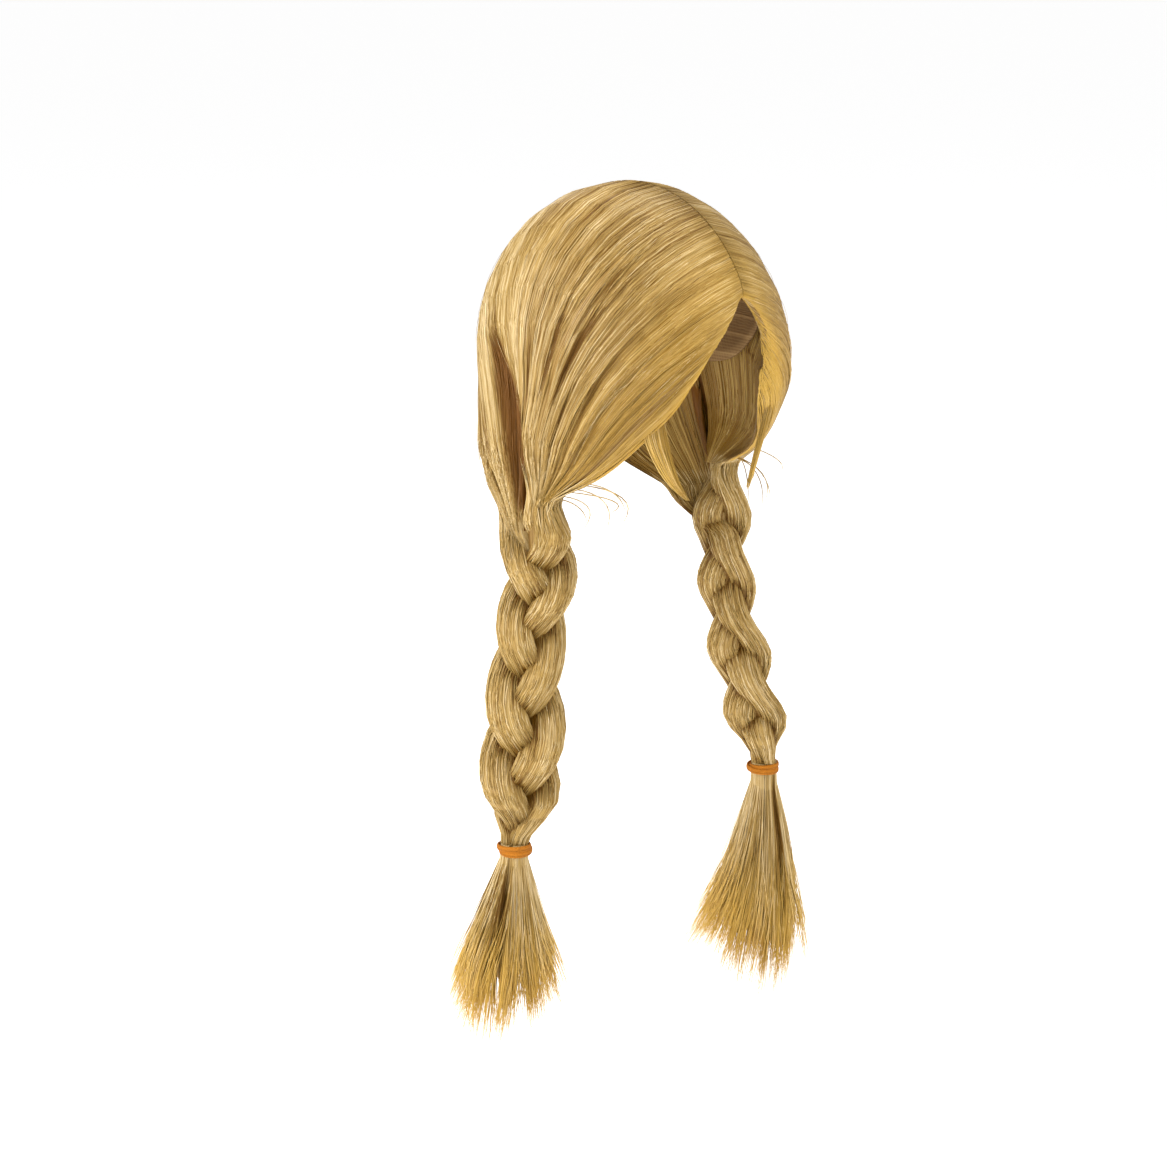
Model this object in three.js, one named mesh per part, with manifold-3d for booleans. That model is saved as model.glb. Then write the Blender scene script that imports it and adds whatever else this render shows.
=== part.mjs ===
// Wig of straight hair parted in the middle, with a plaited tail on each side.
// Millimetres, +Z up. The wearer looks along -Y and the wearer's left is +X.
// The origin is the inner crown of the cap, where the wearer's head touches it.
import * as THREE from 'three';
import { mergeVertices } from 'three/addons/utils/BufferGeometryUtils.js';
import Module from 'manifold-3d';

const wasm = await Module();
wasm.setup();

// Clearances between neighbouring pieces
const PIECE_GAP = 0.4;
const CAP_SEAT = 1.0;
const PARTING_HALF_GAP = 0.35;

// Points closer than this are one corner
const MERGE_DISTANCE = 1e-4;

// Colours and roughness of the soft materials
const HAIR_COLOUR = 0xc3a15e;
const HAIR_DARK_COLOUR = 0xb08d4d;
const CAP_COLOUR = 0xa9854c;
const TIE_COLOUR = 0xb9701f;
const HAIR_ROUGHNESS = 0.5;
const CAP_ROUGHNESS = 0.9;
const TIE_ROUGHNESS = 0.8;

// Cap: an egg-shaped cloth dome, its inner face sized for a head of 555 mm round
const CAP = { width: 78, front: 97, back: 100, top: 95, low: 140, centre: -95 };
const CAP_WALL = 1.5;
const CAP_AROUND = 32;
const CAP_DOWN = 8;
const CAP_EDGE = [
  { around: 0, height: -66 },
  { around: 40, height: -84 },
  { around: 75, height: -124 },
  { around: 110, height: -132 },
  { around: 145, height: -152 },
  { around: 180, height: -164 },
];

// Heights where the plait begins and ends. The third strand joins a few steps later
const PLAIT_TOP = -206.4;
const PLAIT_FOOT = -437.6;
const STRAND_STEPS = 32;
const STRAND_STEP = (PLAIT_TOP - PLAIT_FOOT) / STRAND_STEPS;
const LATE_STEPS = 3;

// Outer dome that the combed hair follows: pressed down at the roots, grooved between the locks
const DOME = { width: 99, front: 112, back: 117, top: 116, low: 132, centre: -110 };
const ROOT_LIFT = -2.5;
const ROOT_SPAN = 0.3;
const CROWN_PEAK = 27 / 4;
const GROOVE = 2.4;
const GROOVE_SPAN = 0.6;
const COLUMNS_PER_LOCK = 3;
const ROWS_ON_HEAD = 8;
const ROWS_HANGING = 4;
const HANG_DROOP = 4;

// Front hair, one row per guide lock from the hairline back to the crown.
// root: degrees along the parting, side and drop: where it crosses the side of the head,
// crown and lift: height above the dome near the parting and at the side,
// sag: how far it hangs out on the way to the plait, wall: how thick it is there
const FRONT_HAIR = {
  locks: 6,
  rows: [
    { root: -71, side: 36, drop: 108, crown: -1, lift: 4, sag: 3, wall: 8 },
    { root: -57, side: 51, drop: 102, crown: -2.4, lift: 5.8, sag: 5.5, wall: 10 },
    { root: -42, side: 65, drop: 98.5, crown: -3.2, lift: 5.6, sag: 7, wall: 12 },
    { root: -25, side: 78, drop: 96.5, crown: -3.2, lift: 4.2, sag: 8, wall: 13 },
    { root: -5, side: 90, drop: 95.5, crown: -2.2, lift: 2, sag: 7, wall: 13 },
    { root: 18, side: 100, drop: 95.5, crown: 0.2, lift: -1, sag: 3, wall: 11 },
  ],
  end: { front: [97, -11], back: [103, 6], depth: 15, height: PLAIT_TOP + PIECE_GAP },
};

// Back hair, one row per guide lock from the crown down to the nape
const BACK_HAIR = {
  locks: 4,
  rows: [
    { root: 18.8, side: 105, drop: 96, crown: 0.2, lift: -3, sag: 0, wall: 7 },
    { root: 42, side: 126, drop: 97, crown: 0.9, lift: 2, sag: 2, wall: 12 },
    { root: 74, side: 151, drop: 104, crown: 1, lift: 3, sag: 10, wall: 13 },
    { root: 107, side: 174, drop: 112, crown: 0, lift: 0, sag: 11, wall: 10 },
  ],
  end: {
    front: [107, 11], back: [88, 44], depth: 9, height: PLAIT_TOP - LATE_STEPS * STRAND_STEP + PIECE_GAP,
  },
};

// Plait: three strands that cross over each other on the way down.
// full: how full the plait is at a height, drawn in under the head and at the tie
const PLAIT_PATH = [
  { height: -200, out: 94, back: 0 },
  { height: -255, out: 95, back: -1 },
  { height: -310, out: 105, back: 1 },
  { height: -370, out: 117, back: -5.5 },
  { height: -415, out: 126, back: -12 },
  { height: -446, out: 133, back: -13 },
];
const PLAIT_FULLNESS = [
  { height: -206, full: 0.56 },
  { height: -240, full: 0.86 },
  { height: -310, full: 0.93 },
  { height: -370, full: 1.08 },
  { height: -408, full: 1.0 },
  { height: -438, full: 0.48 },
];
const PLAIT_PITCH = 158;
const PLAIT_SWING = 14;
const PLAIT_DEPTH = 10.5;
const STRAND_HALF_WIDTH = 13;
const STRAND_HALF_DEPTH = 11.5;
const STRAND_SIDES = 10;
const STRAND_GAP = 0.5;

// Each plait twists its own way on its path. turn: degrees from the front to where its flat face looks,
// edge: height where the first strand is at its edge, full: how full it is beside the table above
const RIGHT_PLAIT = { turn: 45, edge: -256, full: 1 };
const LEFT_PLAIT = { turn: 100, edge: -233, full: 0.9 };

// Strands: lead is how far from its place in the plait a strand comes in, over LEAD_LENGTH
const LEAD_LENGTH = 30;
const STRANDS = [
  { phase: 0, late: 0, leadOut: 0, leadBack: 0 },
  { phase: 120, late: 0, leadOut: 0, leadBack: 0 },
  { phase: 240, late: LATE_STEPS, leadOut: -13, leadBack: 20 },
];

// Tie: one elastic cord laid round the plait twice
const TIE_HEIGHT = -444;
const TIE_RADIUS = 10.6;
const CORD_RADIUS = 1.85;
const TIE_SPREAD = 1.95;
const TIE_STEPS = 36;
const TIE_SIDES = 6;
const TIE_CROSSING = 120;

// Tassel: loose ends below the tie, a row per lock.
// turn: degrees round the tassel from the front, reach: how far out the tip is, tip: how far down
const TASSEL_NECK_RADIUS = TIE_RADIUS - CORD_RADIUS - PIECE_GAP;
const TASSEL_NECK_OVERLAP = 1;
const TASSEL_HEAD = { top: TASSEL_NECK_RADIUS + 2, foot: TASSEL_NECK_RADIUS + 6, drop: 34, sides: 16 };
const TASSEL_LOCK = { root: 4, flare: 1.1, sides: 5, steps: 4, tipShare: 0.5 };
const TASSEL_LOCK_WIDE = { root: 7, tip: 15.4 };
const TASSEL_LOCK_THICK = { root: 6.3, tip: 9.8 };
const RIGHT_TASSEL = {
  shiftOut: 6, shiftBack: 5,
  locks: [
    { turn: 0, reach: 25, tip: 114 },
    { turn: 45, reach: 34, tip: 110 },
    { turn: 88, reach: 30, tip: 118 },
    { turn: 135, reach: 33, tip: 113 },
    { turn: 180, reach: 25, tip: 116 },
    { turn: 225, reach: 34, tip: 115 },
    { turn: 270, reach: 28, tip: 117 },
    { turn: 315, reach: 34, tip: 110 },
    { turn: 30, reach: 8, tip: 118 },
  ],
};
const LEFT_TASSEL = {
  shiftOut: 2, shiftBack: 2,
  locks: [
    { turn: 0, reach: 27, tip: 148 },
    { turn: 48, reach: 41, tip: 140 },
    { turn: 92, reach: 30, tip: 150 },
    { turn: 135, reach: 30, tip: 146 },
    { turn: 180, reach: 26, tip: 144 },
    { turn: 228, reach: 38, tip: 142 },
    { turn: 272, reach: 30, tip: 144 },
    { turn: 315, reach: 30, tip: 146 },
    { turn: 20, reach: 8, tip: 160 },
  ],
};

// Side locks: a loose tendril under the front edge of the hair, curled forward on the right
const RIGHT_SIDE_LOCK = [
  { out: 60, back: -73, height: -136, wide: 8, thick: 2.4 },
  { out: 60, back: -75, height: -155, wide: 10, thick: 2.7 },
  { out: 58, back: -80, height: -172, wide: 8.6, thick: 2.5 },
  { out: 54, back: -87, height: -188, wide: 5.6, thick: 2.1 },
  { out: 48, back: -95, height: -200, wide: 1.6, thick: 1.2 },
];
const LEFT_SIDE_LOCK = [
  { out: 61, back: -76, height: -138, wide: 7, thick: 2.4 },
  { out: 60, back: -71, height: -160, wide: 7, thick: 2.6 },
  { out: 57, back: -67, height: -180, wide: 5, thick: 2.3 },
  { out: 53, back: -65, height: -197, wide: 3.2, thick: 1.8 },
  { out: 50, back: -63, height: -211, wide: 1.4, thick: 1.1 },
];
const SIDE_LOCK_TRIM = [-0.3, -0.05, -0.26];
const SIDE_LOCK_SIDES = 8;
const SIDE_LOCK_STEPS = 9;

const radians = THREE.MathUtils.degToRad;
const mix = THREE.MathUtils.lerp;
const easeBetween = THREE.MathUtils.smoothstep;

// Value of one column of a table, smooth from row to row, at share t of the table
function alongRows(rows, column, t) {
  const last = rows.length - 1;
  const place = Math.min(Math.max(t, 0), 1) * last;
  const row = Math.min(Math.floor(place), last - 1);
  const w = place - row;
  const at = (i) => {
    if (i < 0) return 2 * rows[0][column] - rows[1][column];
    if (i > last) return 2 * rows[last][column] - rows[last - 1][column];
    return rows[i][column];
  };
  const slopeIn = (at(row + 1) - at(row - 1)) / 2;
  const slopeOut = (at(row + 2) - at(row)) / 2;
  const rise = at(row + 1) - at(row);
  return at(row) + w * slopeIn + w * w * (3 * rise - 2 * slopeIn - slopeOut)
    + w * w * w * (slopeIn + slopeOut - 2 * rise);
}

// Share of a table at which a column that only rises or only falls has a value
function shareOfRow(rows, column, value) {
  const last = rows.length - 1;
  for (let i = 0; i < last; i += 1) {
    const share = (value - rows[i][column]) / (rows[i + 1][column] - rows[i][column]);
    if (share <= 1 || i === last - 1) return (i + share) / last;
  }
  return 1;
}

// Point of an egg-shaped form in a direction, raised by a lift
function onForm(form, direction, lift) {
  const length = direction.y < 0 ? form.front : form.back;
  const height = direction.z > 0 ? form.top : form.low;
  return new THREE.Vector3(
    (form.width + lift) * direction.x,
    (length + lift) * direction.y,
    form.centre + (height + lift) * direction.z,
  );
}

// Direction on the parting, negative in front of the crown
function partingDirection(degrees) {
  return new THREE.Vector3(0, Math.sin(radians(degrees)), Math.cos(radians(degrees)));
}

// Level direction at an angle round from the face
function outwardDirection(degrees) {
  return new THREE.Vector3(Math.sin(radians(degrees)), -Math.cos(radians(degrees)), 0);
}

// Direction at an angle round from the face and down from the crown
function sideDirection(around, down) {
  return outwardDirection(around).multiplyScalar(Math.sin(radians(down))).setZ(Math.cos(radians(down)));
}

// Geometry from points and triangles, turned so that its faces point out
function solidFrom(points, triangles) {
  const geometry = new THREE.BufferGeometry().setFromPoints(points);
  let volume = 0;
  for (const [a, b, c] of triangles) {
    volume += points[a].dot(new THREE.Vector3().crossVectors(points[b], points[c]));
  }
  const order = volume < 0 ? triangles.map(([a, b, c]) => [a, c, b]) : triangles;
  geometry.setIndex(order.flat());
  geometry.computeVertexNormals();
  return geometry;
}

// Solid between an outer and an inner sheet of the same grid
function betweenSheets(outer, inner) {
  const columns = outer.length;
  const rows = outer[0].length;
  const points = [...outer.flat(), ...inner.flat()];
  const under = columns * rows;
  const triangles = [];
  const quad = (a, b, c, d) => triangles.push([a, b, c], [a, c, d]);
  for (let i = 0; i + 1 < columns; i += 1) {
    for (let j = 0; j + 1 < rows; j += 1) {
      const a = i * rows + j;
      quad(a, a + rows, a + rows + 1, a + 1);
      quad(under + a, under + a + 1, under + a + rows + 1, under + a + rows);
    }
  }
  const wall = (a, b) => quad(b, under + b, under + a, a);
  for (let i = 0; i + 1 < columns; i += 1) {
    wall((i + 1) * rows, i * rows);
    wall(i * rows + rows - 1, (i + 1) * rows + rows - 1);
  }
  for (let j = 0; j + 1 < rows; j += 1) {
    wall(j, j + 1);
    wall((columns - 1) * rows + j + 1, (columns - 1) * rows + j);
  }
  return solidFrom(points, triangles);
}

// Solid through a stack of rings with flat ends, or joined end to end
function throughRings(rings, closed = false) {
  const sides = rings[0].length;
  const points = rings.flat();
  const triangles = [];
  const spans = closed ? rings.length : rings.length - 1;
  for (let i = 0; i < spans; i += 1) {
    const next = (i + 1) % rings.length;
    for (let j = 0; j < sides; j += 1) {
      const k = (j + 1) % sides;
      triangles.push([i * sides + j, i * sides + k, next * sides + k]);
      triangles.push([i * sides + j, next * sides + k, next * sides + j]);
    }
  }
  if (!closed) {
    const foot = (rings.length - 1) * sides;
    for (let j = 1; j + 1 < sides; j += 1) {
      triangles.push([0, j + 1, j]);
      triangles.push([foot, foot + j, foot + j + 1]);
    }
  }
  return solidFrom(points, triangles);
}

// Cap: outer and inner dome joined at the edge that runs above the face, ears and nape
function capGeometry() {
  const points = [];
  const triangles = [];
  const layer = (lift) => {
    const first = points.length;
    points.push(onForm(CAP, new THREE.Vector3(0, 0, 1), lift));
    for (let i = 0; i < CAP_AROUND; i += 1) {
      const around = (360 * i) / CAP_AROUND;
      const fold = Math.min(around, 360 - around);
      const edge = alongRows(CAP_EDGE, 'height', shareOfRow(CAP_EDGE, 'around', fold));
      const reach = edge > CAP.centre ? CAP.top : CAP.low;
      const deepest = THREE.MathUtils.radToDeg(Math.acos((edge - CAP.centre) / reach));
      for (let j = 1; j <= CAP_DOWN; j += 1) {
        points.push(onForm(CAP, sideDirection(around, (deepest * j) / CAP_DOWN), lift));
      }
    }
    return (i, j) => (j === 0 ? first : first + 1 + (i % CAP_AROUND) * CAP_DOWN + j - 1);
  };
  const outer = layer(CAP_WALL);
  const inner = layer(0);
  for (let i = 0; i < CAP_AROUND; i += 1) {
    triangles.push([outer(i, 0), outer(i, 1), outer(i + 1, 1)]);
    triangles.push([inner(i, 0), inner(i + 1, 1), inner(i, 1)]);
    for (let j = 1; j < CAP_DOWN; j += 1) {
      triangles.push([outer(i, j), outer(i, j + 1), outer(i + 1, j + 1)]);
      triangles.push([outer(i, j), outer(i + 1, j + 1), outer(i + 1, j)]);
      triangles.push([inner(i, j), inner(i + 1, j + 1), inner(i, j + 1)]);
      triangles.push([inner(i, j), inner(i + 1, j), inner(i + 1, j + 1)]);
    }
    triangles.push([outer(i, CAP_DOWN), inner(i, CAP_DOWN), inner(i + 1, CAP_DOWN)]);
    triangles.push([outer(i, CAP_DOWN), inner(i + 1, CAP_DOWN), outer(i + 1, CAP_DOWN)]);
  }
  return solidFrom(points, triangles);
}

// Outer and inner line of one guide lock, from the parting over the side to the plait
function guideLines(section, share, groove) {
  const value = (column) => alongRows(section.rows, column, share);
  const from = partingDirection(value('root'));
  const to = sideDirection(value('side'), value('drop'));
  const sweep = new THREE.Quaternion().setFromUnitVectors(from, to);
  const outer = [];
  const inner = [];
  for (let i = 0; i <= ROWS_ON_HEAD; i += 1) {
    const part = i / ROWS_ON_HEAD;
    const direction = from.clone().applyQuaternion(new THREE.Quaternion().slerp(sweep, part));
    const lift = mix(ROOT_LIFT, 0, easeBetween(part, 0, ROOT_SPAN)) + value('lift') * part ** 2
      + value('crown') * CROWN_PEAK * part * (1 - part) ** 2;
    outer.push(onForm(DOME, direction, lift - groove * GROOVE * easeBetween(part, 0, GROOVE_SPAN)));
    inner.push(onForm(CAP, direction, CAP_WALL + CAP_SEAT));
  }
  const { front, back, depth, height } = section.end;
  const foot = new THREE.Vector3(mix(front[0], back[0], share), mix(front[1], back[1], share), height);
  const inward = new THREE.Vector3(front[1] - back[1], back[0] - front[0], 0).normalize();
  const side = outer[ROWS_ON_HEAD];
  const outward = side.clone().setZ(0).normalize();
  const hang = side.clone().lerp(foot, 0.5).addScaledVector(outward, value('sag') - groove * GROOVE);
  hang.z -= HANG_DROOP;
  const hangInner = hang.clone().addScaledVector(outward, -value('wall'));
  const footInner = foot.clone().addScaledVector(inward, depth);
  const lead = (line, ...rest) => {
    const stations = [...line.slice(-2), ...rest];
    const curve = new THREE.CatmullRomCurve3(stations, false, 'catmullrom');
    const first = 1 / (stations.length - 1);
    for (let i = 1; i <= ROWS_HANGING; i += 1) line.push(curve.getPoint(mix(first, 1, i / ROWS_HANGING)));
    return line;
  };
  return [lead(outer, hang, foot), lead(inner, hangInner, footInner)];
}

// Combed hair of one side: shallow grooves between its locks
function hairSection(section) {
  const columns = section.locks * COLUMNS_PER_LOCK;
  const sheets = [[], []];
  for (let i = 0; i <= columns; i += 1) {
    const groove = i % COLUMNS_PER_LOCK === 0 ? 1 : 0;
    guideLines(section, i / columns, groove).forEach((line, k) => {
      line.forEach((point) => point.setX(Math.max(point.x, PARTING_HALF_GAP)));
      sheets[k].push(line);
    });
  }
  return betweenSheets(sheets[0], sheets[1]);
}

// Middle line of the plait at a height
function plaitMiddle(height) {
  const share = shareOfRow(PLAIT_PATH, 'height', height);
  const value = (column) => alongRows(PLAIT_PATH, column, share);
  return new THREE.Vector3(value('out'), value('back'), height);
}

// Directions through the depth of a plait and across it
function plaitFace(plait) {
  return outwardDirection(plait.turn);
}

function plaitAcross(plait) {
  return outwardDirection(plait.turn - 90);
}

// How full a plait is at a height
function plaitScale(plait, height) {
  return plait.full * alongRows(PLAIT_FULLNESS, 'full', shareOfRow(PLAIT_FULLNESS, 'height', height));
}

// Middle of a strand across the plait and through its depth, in units of the strand's half sizes
function strandMiddle(plait, strand, height) {
  const turns = (plait.edge - height) / PLAIT_PITCH;
  const turn = 2 * Math.PI * turns + Math.PI / 2 + radians(strand.phase);
  const fallen = PLAIT_TOP - strand.late * STRAND_STEP - height;
  const lead = 1 - easeBetween(fallen, 0, LEAD_LENGTH);
  const leadIn = new THREE.Vector3(strand.leadOut * lead, strand.leadBack * lead, 0);
  const scale = plaitScale(plait, height);
  return new THREE.Vector2(
    (scale * PLAIT_SWING * Math.sin(turn) + leadIn.dot(plaitAcross(plait))) / STRAND_HALF_WIDTH,
    (-scale * PLAIT_DEPTH * Math.sin(2 * turn) + leadIn.dot(plaitFace(plait))) / STRAND_HALF_DEPTH,
  );
}

// Strand: level slices, round where free and flattened where two strands press together.
// The flat between two strands is the same plane over each step, so they never cut into each other
function strandGeometry(plait, strand) {
  const across = plaitAcross(plait);
  const face = plaitFace(plait);
  const rings = [];
  for (let i = strand.late; i <= STRAND_STEPS; i += 1) {
    const height = PLAIT_TOP - STRAND_STEP * i;
    const middle = strandMiddle(plait, strand, height);
    const flats = [];
    for (const other of STRANDS.filter((one) => one !== strand)) {
      for (const level of [height + STRAND_STEP / 2, height - STRAND_STEP / 2]) {
        const own = strandMiddle(plait, strand, level);
        const away = strandMiddle(plait, other, level).sub(own);
        const normal = away.clone().normalize();
        const wall = own.addScaledVector(away, 0.5).sub(middle).dot(normal);
        flats.push({ normal, wall: wall - (0.5 * STRAND_GAP) / STRAND_HALF_DEPTH });
      }
    }
    const ring = [];
    for (let j = 0; j < STRAND_SIDES; j += 1) {
      const turn = (2 * Math.PI * (j + 0.5)) / STRAND_SIDES;
      const spoke = new THREE.Vector2(Math.cos(turn), Math.sin(turn));
      let reach = plaitScale(plait, height);
      for (const { normal, wall } of flats) {
        const facing = spoke.dot(normal);
        if (facing > 0) reach = Math.min(reach, wall / facing);
      }
      const place = middle.clone().addScaledVector(spoke, reach);
      ring.push(plaitMiddle(height)
        .addScaledVector(across, place.x * STRAND_HALF_WIDTH)
        .addScaledVector(face, place.y * STRAND_HALF_DEPTH));
    }
    rings.push(ring);
  }
  return throughRings(rings);
}

// Tie: the cord goes round twice, its second turn below the first, and crosses once at the back
function tieGeometry() {
  const middle = plaitMiddle(TIE_HEIGHT);
  const rings = [];
  for (let i = 0; i < TIE_STEPS; i += 1) {
    const turn = (4 * Math.PI * i) / TIE_STEPS;
    const round = turn + radians(TIE_CROSSING) + Math.PI;
    const radius = TIE_RADIUS + 2 * TIE_SPREAD * Math.max(0, Math.sin(turn / 2));
    const outward = new THREE.Vector3(Math.cos(round), Math.sin(round), 0);
    const ring = [];
    for (let j = 0; j < TIE_SIDES; j += 1) {
      const angle = (2 * Math.PI * j) / TIE_SIDES;
      const point = middle.clone().addScaledVector(outward, radius + CORD_RADIUS * Math.cos(angle));
      point.z += TIE_SPREAD * Math.cos(turn / 2) + CORD_RADIUS * Math.sin(angle);
      ring.push(point);
    }
    rings.push(ring);
  }
  return throughRings(rings, true);
}

// Closed solid of a geometry for adding pieces together
function toManifold(geometry) {
  const plain = geometry.clone();
  plain.deleteAttribute('normal');
  plain.deleteAttribute('uv');
  const merged = mergeVertices(plain, MERGE_DISTANCE);
  return new wasm.Manifold(new wasm.Mesh({
    numProp: 3,
    vertProperties: new Float32Array(merged.attributes.position.array),
    triVerts: new Uint32Array(merged.index.array),
  }));
}

function fromManifold(solid) {
  const mesh = solid.getMesh();
  const geometry = new THREE.BufferGeometry();
  geometry.setAttribute('position', new THREE.BufferAttribute(new Float32Array(mesh.vertProperties), 3));
  geometry.setIndex(new THREE.BufferAttribute(new Uint32Array(mesh.triVerts), 1));
  geometry.computeVertexNormals();
  return geometry;
}

// Tassel: a neck through the tie, a flared head below it and tapered locks fused to the head
function tasselGeometry(tassel) {
  const top = PLAIT_FOOT - PIECE_GAP;
  const neckFoot = TIE_HEIGHT - TIE_SPREAD - CORD_RADIUS - PIECE_GAP;
  const middle = plaitMiddle(TIE_HEIGHT);
  const upright = new THREE.Matrix4().makeRotationX(Math.PI / 2);
  const round = (topRadius, footRadius, from, to) => new THREE.CylinderGeometry(
    topRadius, footRadius, from - to, TASSEL_HEAD.sides,
  ).applyMatrix4(upright).translate(middle.x, middle.y, (from + to) / 2);
  const neck = round(TASSEL_NECK_RADIUS, TASSEL_NECK_RADIUS, top, neckFoot - TASSEL_NECK_OVERLAP);
  const head = round(TASSEL_HEAD.top, TASSEL_HEAD.foot, neckFoot, neckFoot - TASSEL_HEAD.drop);
  let solid = toManifold(neck).add(toManifold(head));
  for (const lock of tassel.locks) {
    const outward = outwardDirection(lock.turn);
    const sideways = new THREE.Vector3(-outward.y, outward.x, 0);
    const rings = [];
    for (let i = 0; i <= TASSEL_LOCK.steps; i += 1) {
      const t = i / TASSEL_LOCK.steps;
      const reach = mix(TASSEL_LOCK.root, lock.reach, t ** TASSEL_LOCK.flare);
      const centre = middle.clone().addScaledVector(outward, reach);
      centre.x += tassel.shiftOut * t;
      centre.y += tassel.shiftBack * t;
      centre.z = mix(neckFoot - TASSEL_NECK_OVERLAP, neckFoot - lock.tip, t);
      const taper = i < TASSEL_LOCK.steps ? 1 : TASSEL_LOCK.tipShare;
      const wide = taper * mix(TASSEL_LOCK_WIDE.root, TASSEL_LOCK_WIDE.tip, t);
      const thick = taper * mix(TASSEL_LOCK_THICK.root, TASSEL_LOCK_THICK.tip, t);
      const ring = [];
      for (let j = 0; j < TASSEL_LOCK.sides; j += 1) {
        const angle = (2 * Math.PI * j) / TASSEL_LOCK.sides;
        ring.push(centre.clone().addScaledVector(sideways, wide * Math.cos(angle))
          .addScaledVector(outward, thick * Math.sin(angle)));
      }
      rings.push(ring);
    }
    solid = solid.add(toManifold(throughRings(rings)));
  }
  return fromManifold(solid);
}

// Side lock: a flat tapered tendril that curls forward, its root trimmed to the edge of the front hair
function sideLockGeometry(rows, frontHair) {
  const rings = [];
  for (let i = 0; i <= SIDE_LOCK_STEPS; i += 1) {
    const t = i / SIDE_LOCK_STEPS;
    const value = (column) => alongRows(rows, column, t);
    const outward = new THREE.Vector3(value('out'), value('back'), 0).normalize();
    const sideways = new THREE.Vector3(-outward.y, outward.x, 0);
    const ring = [];
    for (let j = 0; j < SIDE_LOCK_SIDES; j += 1) {
      const angle = (2 * Math.PI * j) / SIDE_LOCK_SIDES;
      ring.push(new THREE.Vector3(value('out'), value('back'), value('height'))
        .addScaledVector(sideways, value('wide') * Math.cos(angle))
        .addScaledVector(outward, value('thick') * Math.sin(angle)));
    }
    rings.push(ring);
  }
  const edge = toManifold(frontHair.clone().translate(...SIDE_LOCK_TRIM));
  return fromManifold(toManifold(throughRings(rings)).subtract(edge));
}

function piece(name, geometry, colour, roughness) {
  const material = new THREE.MeshStandardMaterial({ color: colour, roughness, metalness: 0 });
  const mesh = new THREE.Mesh(geometry, material);
  mesh.name = name;
  return mesh;
}

// One side of the hair, built with +X outward
function sideOfHair(side, plait, tassel, sideLock) {
  const group = new THREE.Group();
  group.name = `${side}_side`;
  const frontHair = hairSection(FRONT_HAIR);
  group.add(piece(`${side}_front_hair`, frontHair, HAIR_COLOUR, HAIR_ROUGHNESS));
  group.add(piece(`${side}_back_hair`, hairSection(BACK_HAIR), HAIR_COLOUR, HAIR_ROUGHNESS));
  STRANDS.forEach((strand, i) => {
    const geometry = strandGeometry(plait, strand);
    group.add(piece(`${side}_plait_strand_${i + 1}`, geometry, HAIR_COLOUR, HAIR_ROUGHNESS));
  });
  group.add(piece(`${side}_tie`, tieGeometry(), TIE_COLOUR, TIE_ROUGHNESS));
  group.add(piece(`${side}_tassel`, tasselGeometry(tassel), HAIR_DARK_COLOUR, HAIR_ROUGHNESS));
  const lock = sideLockGeometry(sideLock, frontHair);
  group.add(piece(`${side}_side_lock`, lock, HAIR_COLOUR, HAIR_ROUGHNESS));
  return group;
}

const wig = new THREE.Group();
wig.name = 'plaited_wig';
wig.add(piece('wig_cap', capGeometry(), CAP_COLOUR, CAP_ROUGHNESS));
const left = sideOfHair('left', LEFT_PLAIT, LEFT_TASSEL, LEFT_SIDE_LOCK);
const right = sideOfHair('right', RIGHT_PLAIT, RIGHT_TASSEL, RIGHT_SIDE_LOCK);
right.scale.x = -1;
wig.add(left, right);

export default wig;
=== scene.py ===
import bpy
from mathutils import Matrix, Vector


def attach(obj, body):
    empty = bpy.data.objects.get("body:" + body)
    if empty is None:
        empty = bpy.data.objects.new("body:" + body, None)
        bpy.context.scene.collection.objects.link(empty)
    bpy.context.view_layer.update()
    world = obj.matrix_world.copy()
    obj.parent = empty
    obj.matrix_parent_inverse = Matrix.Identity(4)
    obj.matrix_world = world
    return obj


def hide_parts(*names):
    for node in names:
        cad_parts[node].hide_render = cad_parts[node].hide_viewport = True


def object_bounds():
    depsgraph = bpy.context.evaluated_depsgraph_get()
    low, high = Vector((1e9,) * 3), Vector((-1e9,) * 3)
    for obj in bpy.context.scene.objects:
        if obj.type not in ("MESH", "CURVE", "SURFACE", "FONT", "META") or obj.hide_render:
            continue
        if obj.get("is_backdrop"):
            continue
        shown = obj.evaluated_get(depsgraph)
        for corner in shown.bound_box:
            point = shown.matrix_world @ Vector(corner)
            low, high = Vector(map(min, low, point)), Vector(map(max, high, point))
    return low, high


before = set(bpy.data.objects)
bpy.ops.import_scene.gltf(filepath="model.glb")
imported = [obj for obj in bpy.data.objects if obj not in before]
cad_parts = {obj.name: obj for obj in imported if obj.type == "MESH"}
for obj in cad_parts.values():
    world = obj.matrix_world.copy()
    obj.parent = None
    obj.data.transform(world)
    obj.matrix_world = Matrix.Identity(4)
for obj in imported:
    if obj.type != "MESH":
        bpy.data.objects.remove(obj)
cad_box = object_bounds()

from types import SimpleNamespace as Sizes

import bpy
import numpy as np
from mathutils import Vector

# Camera
# The wig is seen from in front of its right side and a little from above, through a long lens.
# The lens is given as the picture's focal length in pixels.
PICTURE_SIDE = 1167
FOCAL_PIXELS = 2800
SENSOR_MM = 36.0
VIEW_TURN = np.radians(46.0)
VIEW_RISE = np.radians(13.5)
VIEW_DISTANCE = 2.0
VIEW_HEIGHT = -0.281
VIEW_ASIDE = 0.0354

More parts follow.
